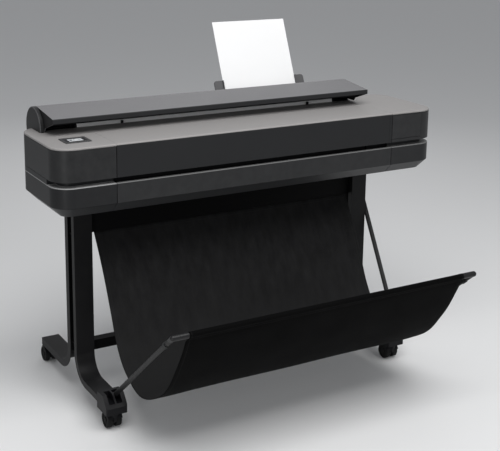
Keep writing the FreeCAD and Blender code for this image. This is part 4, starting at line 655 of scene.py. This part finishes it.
# %% The sheet
cloth_half = cloth_high[0]
elbow_radius, elbow_reach = 0.0086, 0.0455
loop_half = elbow_high[0] - elbow_radius - elbow_reach   # the loop fits between the elbows
inner_share, outer_share = 0.92, 0.08    # of the grid's half width
outer_width = 0.03                       # of the cloth's half width, so the edge is finer
panel_share, loop_share = 0.7, 0.3       # of the grid's length
loop_start = 0.02                        # the loop's finer rows begin this far before the seam
narrow_start, narrow_length = 0.012, 0.010
bpy.ops.object.select_all(action="DESELECT")
bpy.ops.mesh.primitive_grid_add(x_subdivisions=86, y_subdivisions=190, size=1)
bin_cloth = bpy.context.object
bin_cloth.name = "bin_cloth"
sewing = bin_cloth.data.uv_layers.active.data
places = {}
for vertex in bin_cloth.data.vertices:
    across, way = vertex.co.x * 2, vertex.co.y + 0.5
    inner = min(abs(across) / inner_share, 1) * (1 - outer_width)
    outer = max(abs(across) - inner_share, 0) / outer_share * outer_width
    reach = inner + outer
    if way < panel_share:
        distance = way / panel_share * (panel_length - loop_start)
    else:
        loop_way = (way - panel_share) / loop_share
        distance = panel_length - loop_start + loop_way * (cloth_length - panel_length + loop_start)
    narrow = min(max((distance - panel_length + narrow_start) / narrow_length, 0), 1)
    x = math.copysign(reach * (cloth_half + (loop_half - cloth_half) * narrow), across)
    point, way_on = along_line(distance)
    inward = Vector((0, way_on.z, -way_on.y))
    places[vertex.index] = (x, distance)
    vertex.co = Vector((x, 0, 0)) + point + inward * wrinkle(x, distance)
for corner in bin_cloth.data.loops:
    sewing[corner.index].uv = places[corner.vertex_index]
print("cloth points", len(places))

# %% Its thickness and hems
side_hem_width, top_hem_width = 0.0145, 0.016
hem_thickness = 0.0018     # two layers; elsewhere the cloth is half as thick
hem = bin_cloth.vertex_groups.new(name="hem")
for index, (x, distance) in places.items():
    in_hem = abs(x) > cloth_half - side_hem_width or distance < top_hem_width
    hem.add([index], 1.0 if in_hem else 0.0, "REPLACE")
wall = bin_cloth.modifiers.new("thickness", "SOLIDIFY")
wall.thickness = hem_thickness
wall.offset = 0
wall.vertex_group = "hem"
wall.thickness_vertex_group = 0.5
wall.material_offset = 1
bin_cloth.data.materials.append(None)
bin_cloth.data.materials.append(None)
bpy.ops.object.modifier_apply(modifier="thickness")
bpy.ops.object.shade_smooth()
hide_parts("bin_fabric")
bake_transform(bin_cloth)

# %% [markdown]
# The nylon is a plain weave. Two wave patterns on the cloth's own map, which is in metres,
# cross each other as warp and weft, and a third mask makes the rows of stitches.

# %% Woven nylon
side_seam_inset = 0.011
top_seam, bar_seam = 0.013, panel_length - 0.006
thread_half, stitch_soft = 0.0005, 0.0002
stitches_per_metre = 280.0
stitch_gap = 0.25          # of a stitch's length


def make_weave():
    """Height of a plain weave with a number of threads for each metre of cloth."""
    group, start, end = new_group("plain weave", {"Threads": 1400.0}, ["Height"])
    split = put(group, "ShaderNodeSeparateXYZ")
    wire(group, start.outputs["Vector"], split.inputs[0])
    turned = arithmetic(group, "MULTIPLY", start.outputs["Threads"], math.pi)
    waves = []
    for axis in ("X", "Y"):
        phase = arithmetic(group, "MULTIPLY", split.outputs[axis], turned)
        waves.append(arithmetic(group, "SINE", phase))
    crossed = arithmetic(group, "MULTIPLY", waves[0], waves[1])
    wire(group, arithmetic(group, "ABSOLUTE", crossed), end.inputs["Height"])
    return group


weave_group = make_weave()


def stitch_rows(tree, sewn):
    """Rows of stitches along the side hems, the upper edge and the seam under the bar."""
    width_from_middle = arithmetic(tree, "ABSOLUTE", sewn.outputs["X"])
    rows = within(tree, width_from_middle, cloth_half - side_seam_inset, thread_half, stitch_soft)
    for distance in (top_seam, bar_seam):
        row = within(tree, sewn.outputs["Y"], distance, thread_half, stitch_soft)
        rows = arithmetic(tree, "MAXIMUM", rows, row)
    run = arithmetic(tree, "ADD", sewn.outputs["X"], sewn.outputs["Y"])
    share = arithmetic(tree, "FRACT", arithmetic(tree, "MULTIPLY", run, stitches_per_metre))
    shown = arithmetic(tree, "GREATER_THAN", share, stitch_gap)
    return arithmetic(tree, "MULTIPLY", rows, shown)


def woven(name, shade, streak_amount, specular, sheen):
    """Black nylon of a given shade, with upright streaks where it hangs behind the trough."""
    material = bpy.data.materials.new(name)
    material.use_nodes = True
    tree = material.node_tree
    surface = tree.nodes["Principled BSDF"]
    surface.inputs["Specular IOR Level"].default_value = specular
    surface.inputs["Sheen Weight"].default_value = sheen
    surface.inputs["Sheen Roughness"].default_value = 0.4
    cloth_map = put(tree, "ShaderNodeTexCoord").outputs["UV"]
    sewn = put(tree, "ShaderNodeSeparateXYZ")
    wire(tree, cloth_map, sewn.inputs[0])
    stretch = put(tree, "ShaderNodeMapping")
    stretch.inputs["Scale"].default_value = (36, 13, 1)   # longer down the cloth than across
    wire(tree, cloth_map, stretch.inputs["Vector"])
    streak = put(tree, "ShaderNodeTexNoise", Scale=1.0, Detail=5.0, Roughness=0.65)
    wire(tree, stretch.outputs[0], streak.inputs["Vector"])
    behind = short_of(tree, sewn.outputs["Y"], 0.32, 0.28)
    strength = arithmetic(tree, "MULTIPLY", behind, streak_amount)
    centred = arithmetic(tree, "SUBTRACT", streak.outputs["Fac"], 0.5)
    streaks = arithmetic(tree, "MULTIPLY", centred, strength)
    tones = put_group(tree, tone_group, cloth_map, Scale=9.0, Amount=0.09)
    colour = put(tree, "ShaderNodeMix", data_type="RGBA", blend_type="MULTIPLY")
    colour.inputs[0].default_value = 1.0
    colour.inputs[6].default_value = (shade, shade, shade * 1.02, 1)
    wire(tree, arithmetic(tree, "ADD", tones.outputs["Factor"], streaks), colour.inputs[7])
    wire(tree, colour.outputs[2], surface.inputs["Base Color"])
    rough = arithmetic(tree, "MULTIPLY", tones.outputs["Factor"], 0.78)
    wire(tree, rough, surface.inputs["Roughness"])
    stitches = stitch_rows(tree, sewn)
    weave = put_group(tree, weave_group, cloth_map)
    stitch_relief = arithmetic(tree, "MULTIPLY", stitches, 3.0)
    raised = arithmetic(tree, "ADD", weave.outputs["Height"], stitch_relief)
    height = arithmetic(tree, "ADD", raised, arithmetic(tree, "MULTIPLY", streaks, 2.0))
    bump = put(tree, "ShaderNodeBump", Strength=1.0, Distance=0.00012)
    wire(tree, height, bump.inputs["Height"])
    wire(tree, bump.outputs["Normal"], surface.inputs["Normal"])
    second_tone(material, stitches, (0.02, 0.02, 0.02), 0.6)
    return material


# Painted shade: both sides are one black nylon; the outer side, facing forward and down on the
# front panel, is painted darker and duller as the shade there.
bin_cloth.data.materials[0] = woven("black nylon, shaded_outer side", 0.002, 0.8, 0.05, 0.01)
bin_cloth.data.materials[1] = woven("black nylon, inner side", 0.014, 1.8, 0.1, 0.03)
print("nylon", [material.name for material in bin_cloth.data.materials])

# %% [markdown]
# ## Small pieces
#
# Two clips stand on the rear edge of the deck, in the gap under the roll cover, and inside
# the cover a long thin black strip hangs down in front of the roll, a painted shade over the
# roll's upper part. Both kinds start as a cube whose faces or edges are picked by their place,
# and end with the same smooth black plastic.

# %% A cube to model from
def start_cube(name, middle, size, select_mode):
    """A cube of a given size in Edit Mode with nothing selected, and its editable mesh."""
    bpy.ops.object.select_all(action="DESELECT")
    bpy.ops.mesh.primitive_cube_add(size=1, location=middle)
    cube = bpy.context.object
    cube.name = name
    cube.scale = size
    bpy.ops.object.transform_apply(location=True, rotation=True, scale=True)
    bpy.ops.object.mode_set(mode="EDIT")
    bpy.ops.mesh.select_mode(type=select_mode)
    bpy.ops.mesh.select_all(action="DESELECT")
    return cube, bmesh.from_edit_mesh(cube.data)


def end_cube(cube):
    """Leaves Edit Mode, smooths all but the sharp edges and gives the piece its plastic."""
    bpy.ops.object.mode_set(mode="OBJECT")
    bpy.ops.object.shade_smooth_by_angle(angle=math.radians(40))
    cube.data.materials.append(black_plastic)


# %% Deck clips
clip_size = (0.0075, 0.0055, 0.009)
clip_top_inset, clip_top_drop = 0.0012, 0.0015
clip_gap = 0.0048          # from the roll to the clip's middle


def deck_clip(name, x, y, z):
    """A small black clip whose foot stands on the deck."""
    clip, mesh = start_cube(name, (x, y, z + 0.0045), clip_size, "FACE")
    for face in mesh.faces:
        face.select = face.normal.z > 0.9
    bmesh.update_edit_mesh(clip.data)
    bpy.ops.mesh.inset(thickness=clip_top_inset)
    bpy.ops.mesh.extrude_region_move(TRANSFORM_OT_translate={"value": (0, 0, -clip_top_drop)})
    bpy.ops.mesh.select_all(action="SELECT")
    bpy.ops.mesh.bevel(offset=0.0005, segments=2)
    end_cube(clip)
    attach(clip, "root")


deck_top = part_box("top_cover")[1][2]
roll_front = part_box("media_roll")[0][1]
for name, x in (("deck_clip_left", -0.3555), ("deck_clip_right", 0.3128)):
    deck_clip(name, x, roll_front - clip_gap, deck_top)
print("clips", round(deck_top, 3))

# %% Black strip inside the roll cover, a painted shade
strip_setback = 0.056        # behind the cover's front
strip_thickness = 0.0024
strip_end_gaps = 0.008       # both ends together
strip_bottom = deck_top + 0.0215
strip_top = cover_low[2] + 0.050
strip_middle = ((cover_low[0] + cover_high[0]) / 2, cover_low[1] + strip_setback,
              (strip_top + strip_bottom) / 2)
strip_size = (cover_high[0] - cover_low[0] - strip_end_gaps, strip_thickness, strip_top - strip_bottom)
# Painted shade: the black strip stands for the shade that the cover throws on the top of the roll.
shade_strip, mesh = start_cube("cover_shade_strip", strip_middle, strip_size, "EDGE")
for edge in mesh.edges:
    a, b = (vertex.co for vertex in edge.verts)
    edge.select = abs(a.x - b.x) > 0.5 and a.z < strip_bottom + 0.001
bmesh.update_edit_mesh(shade_strip.data)
bpy.ops.mesh.bevel(offset=0.0011, segments=3)
end_cube(shade_strip)
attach(shade_strip, "roll_cover")
print("shade_strip", round(strip_bottom, 4), round(strip_top, 4))
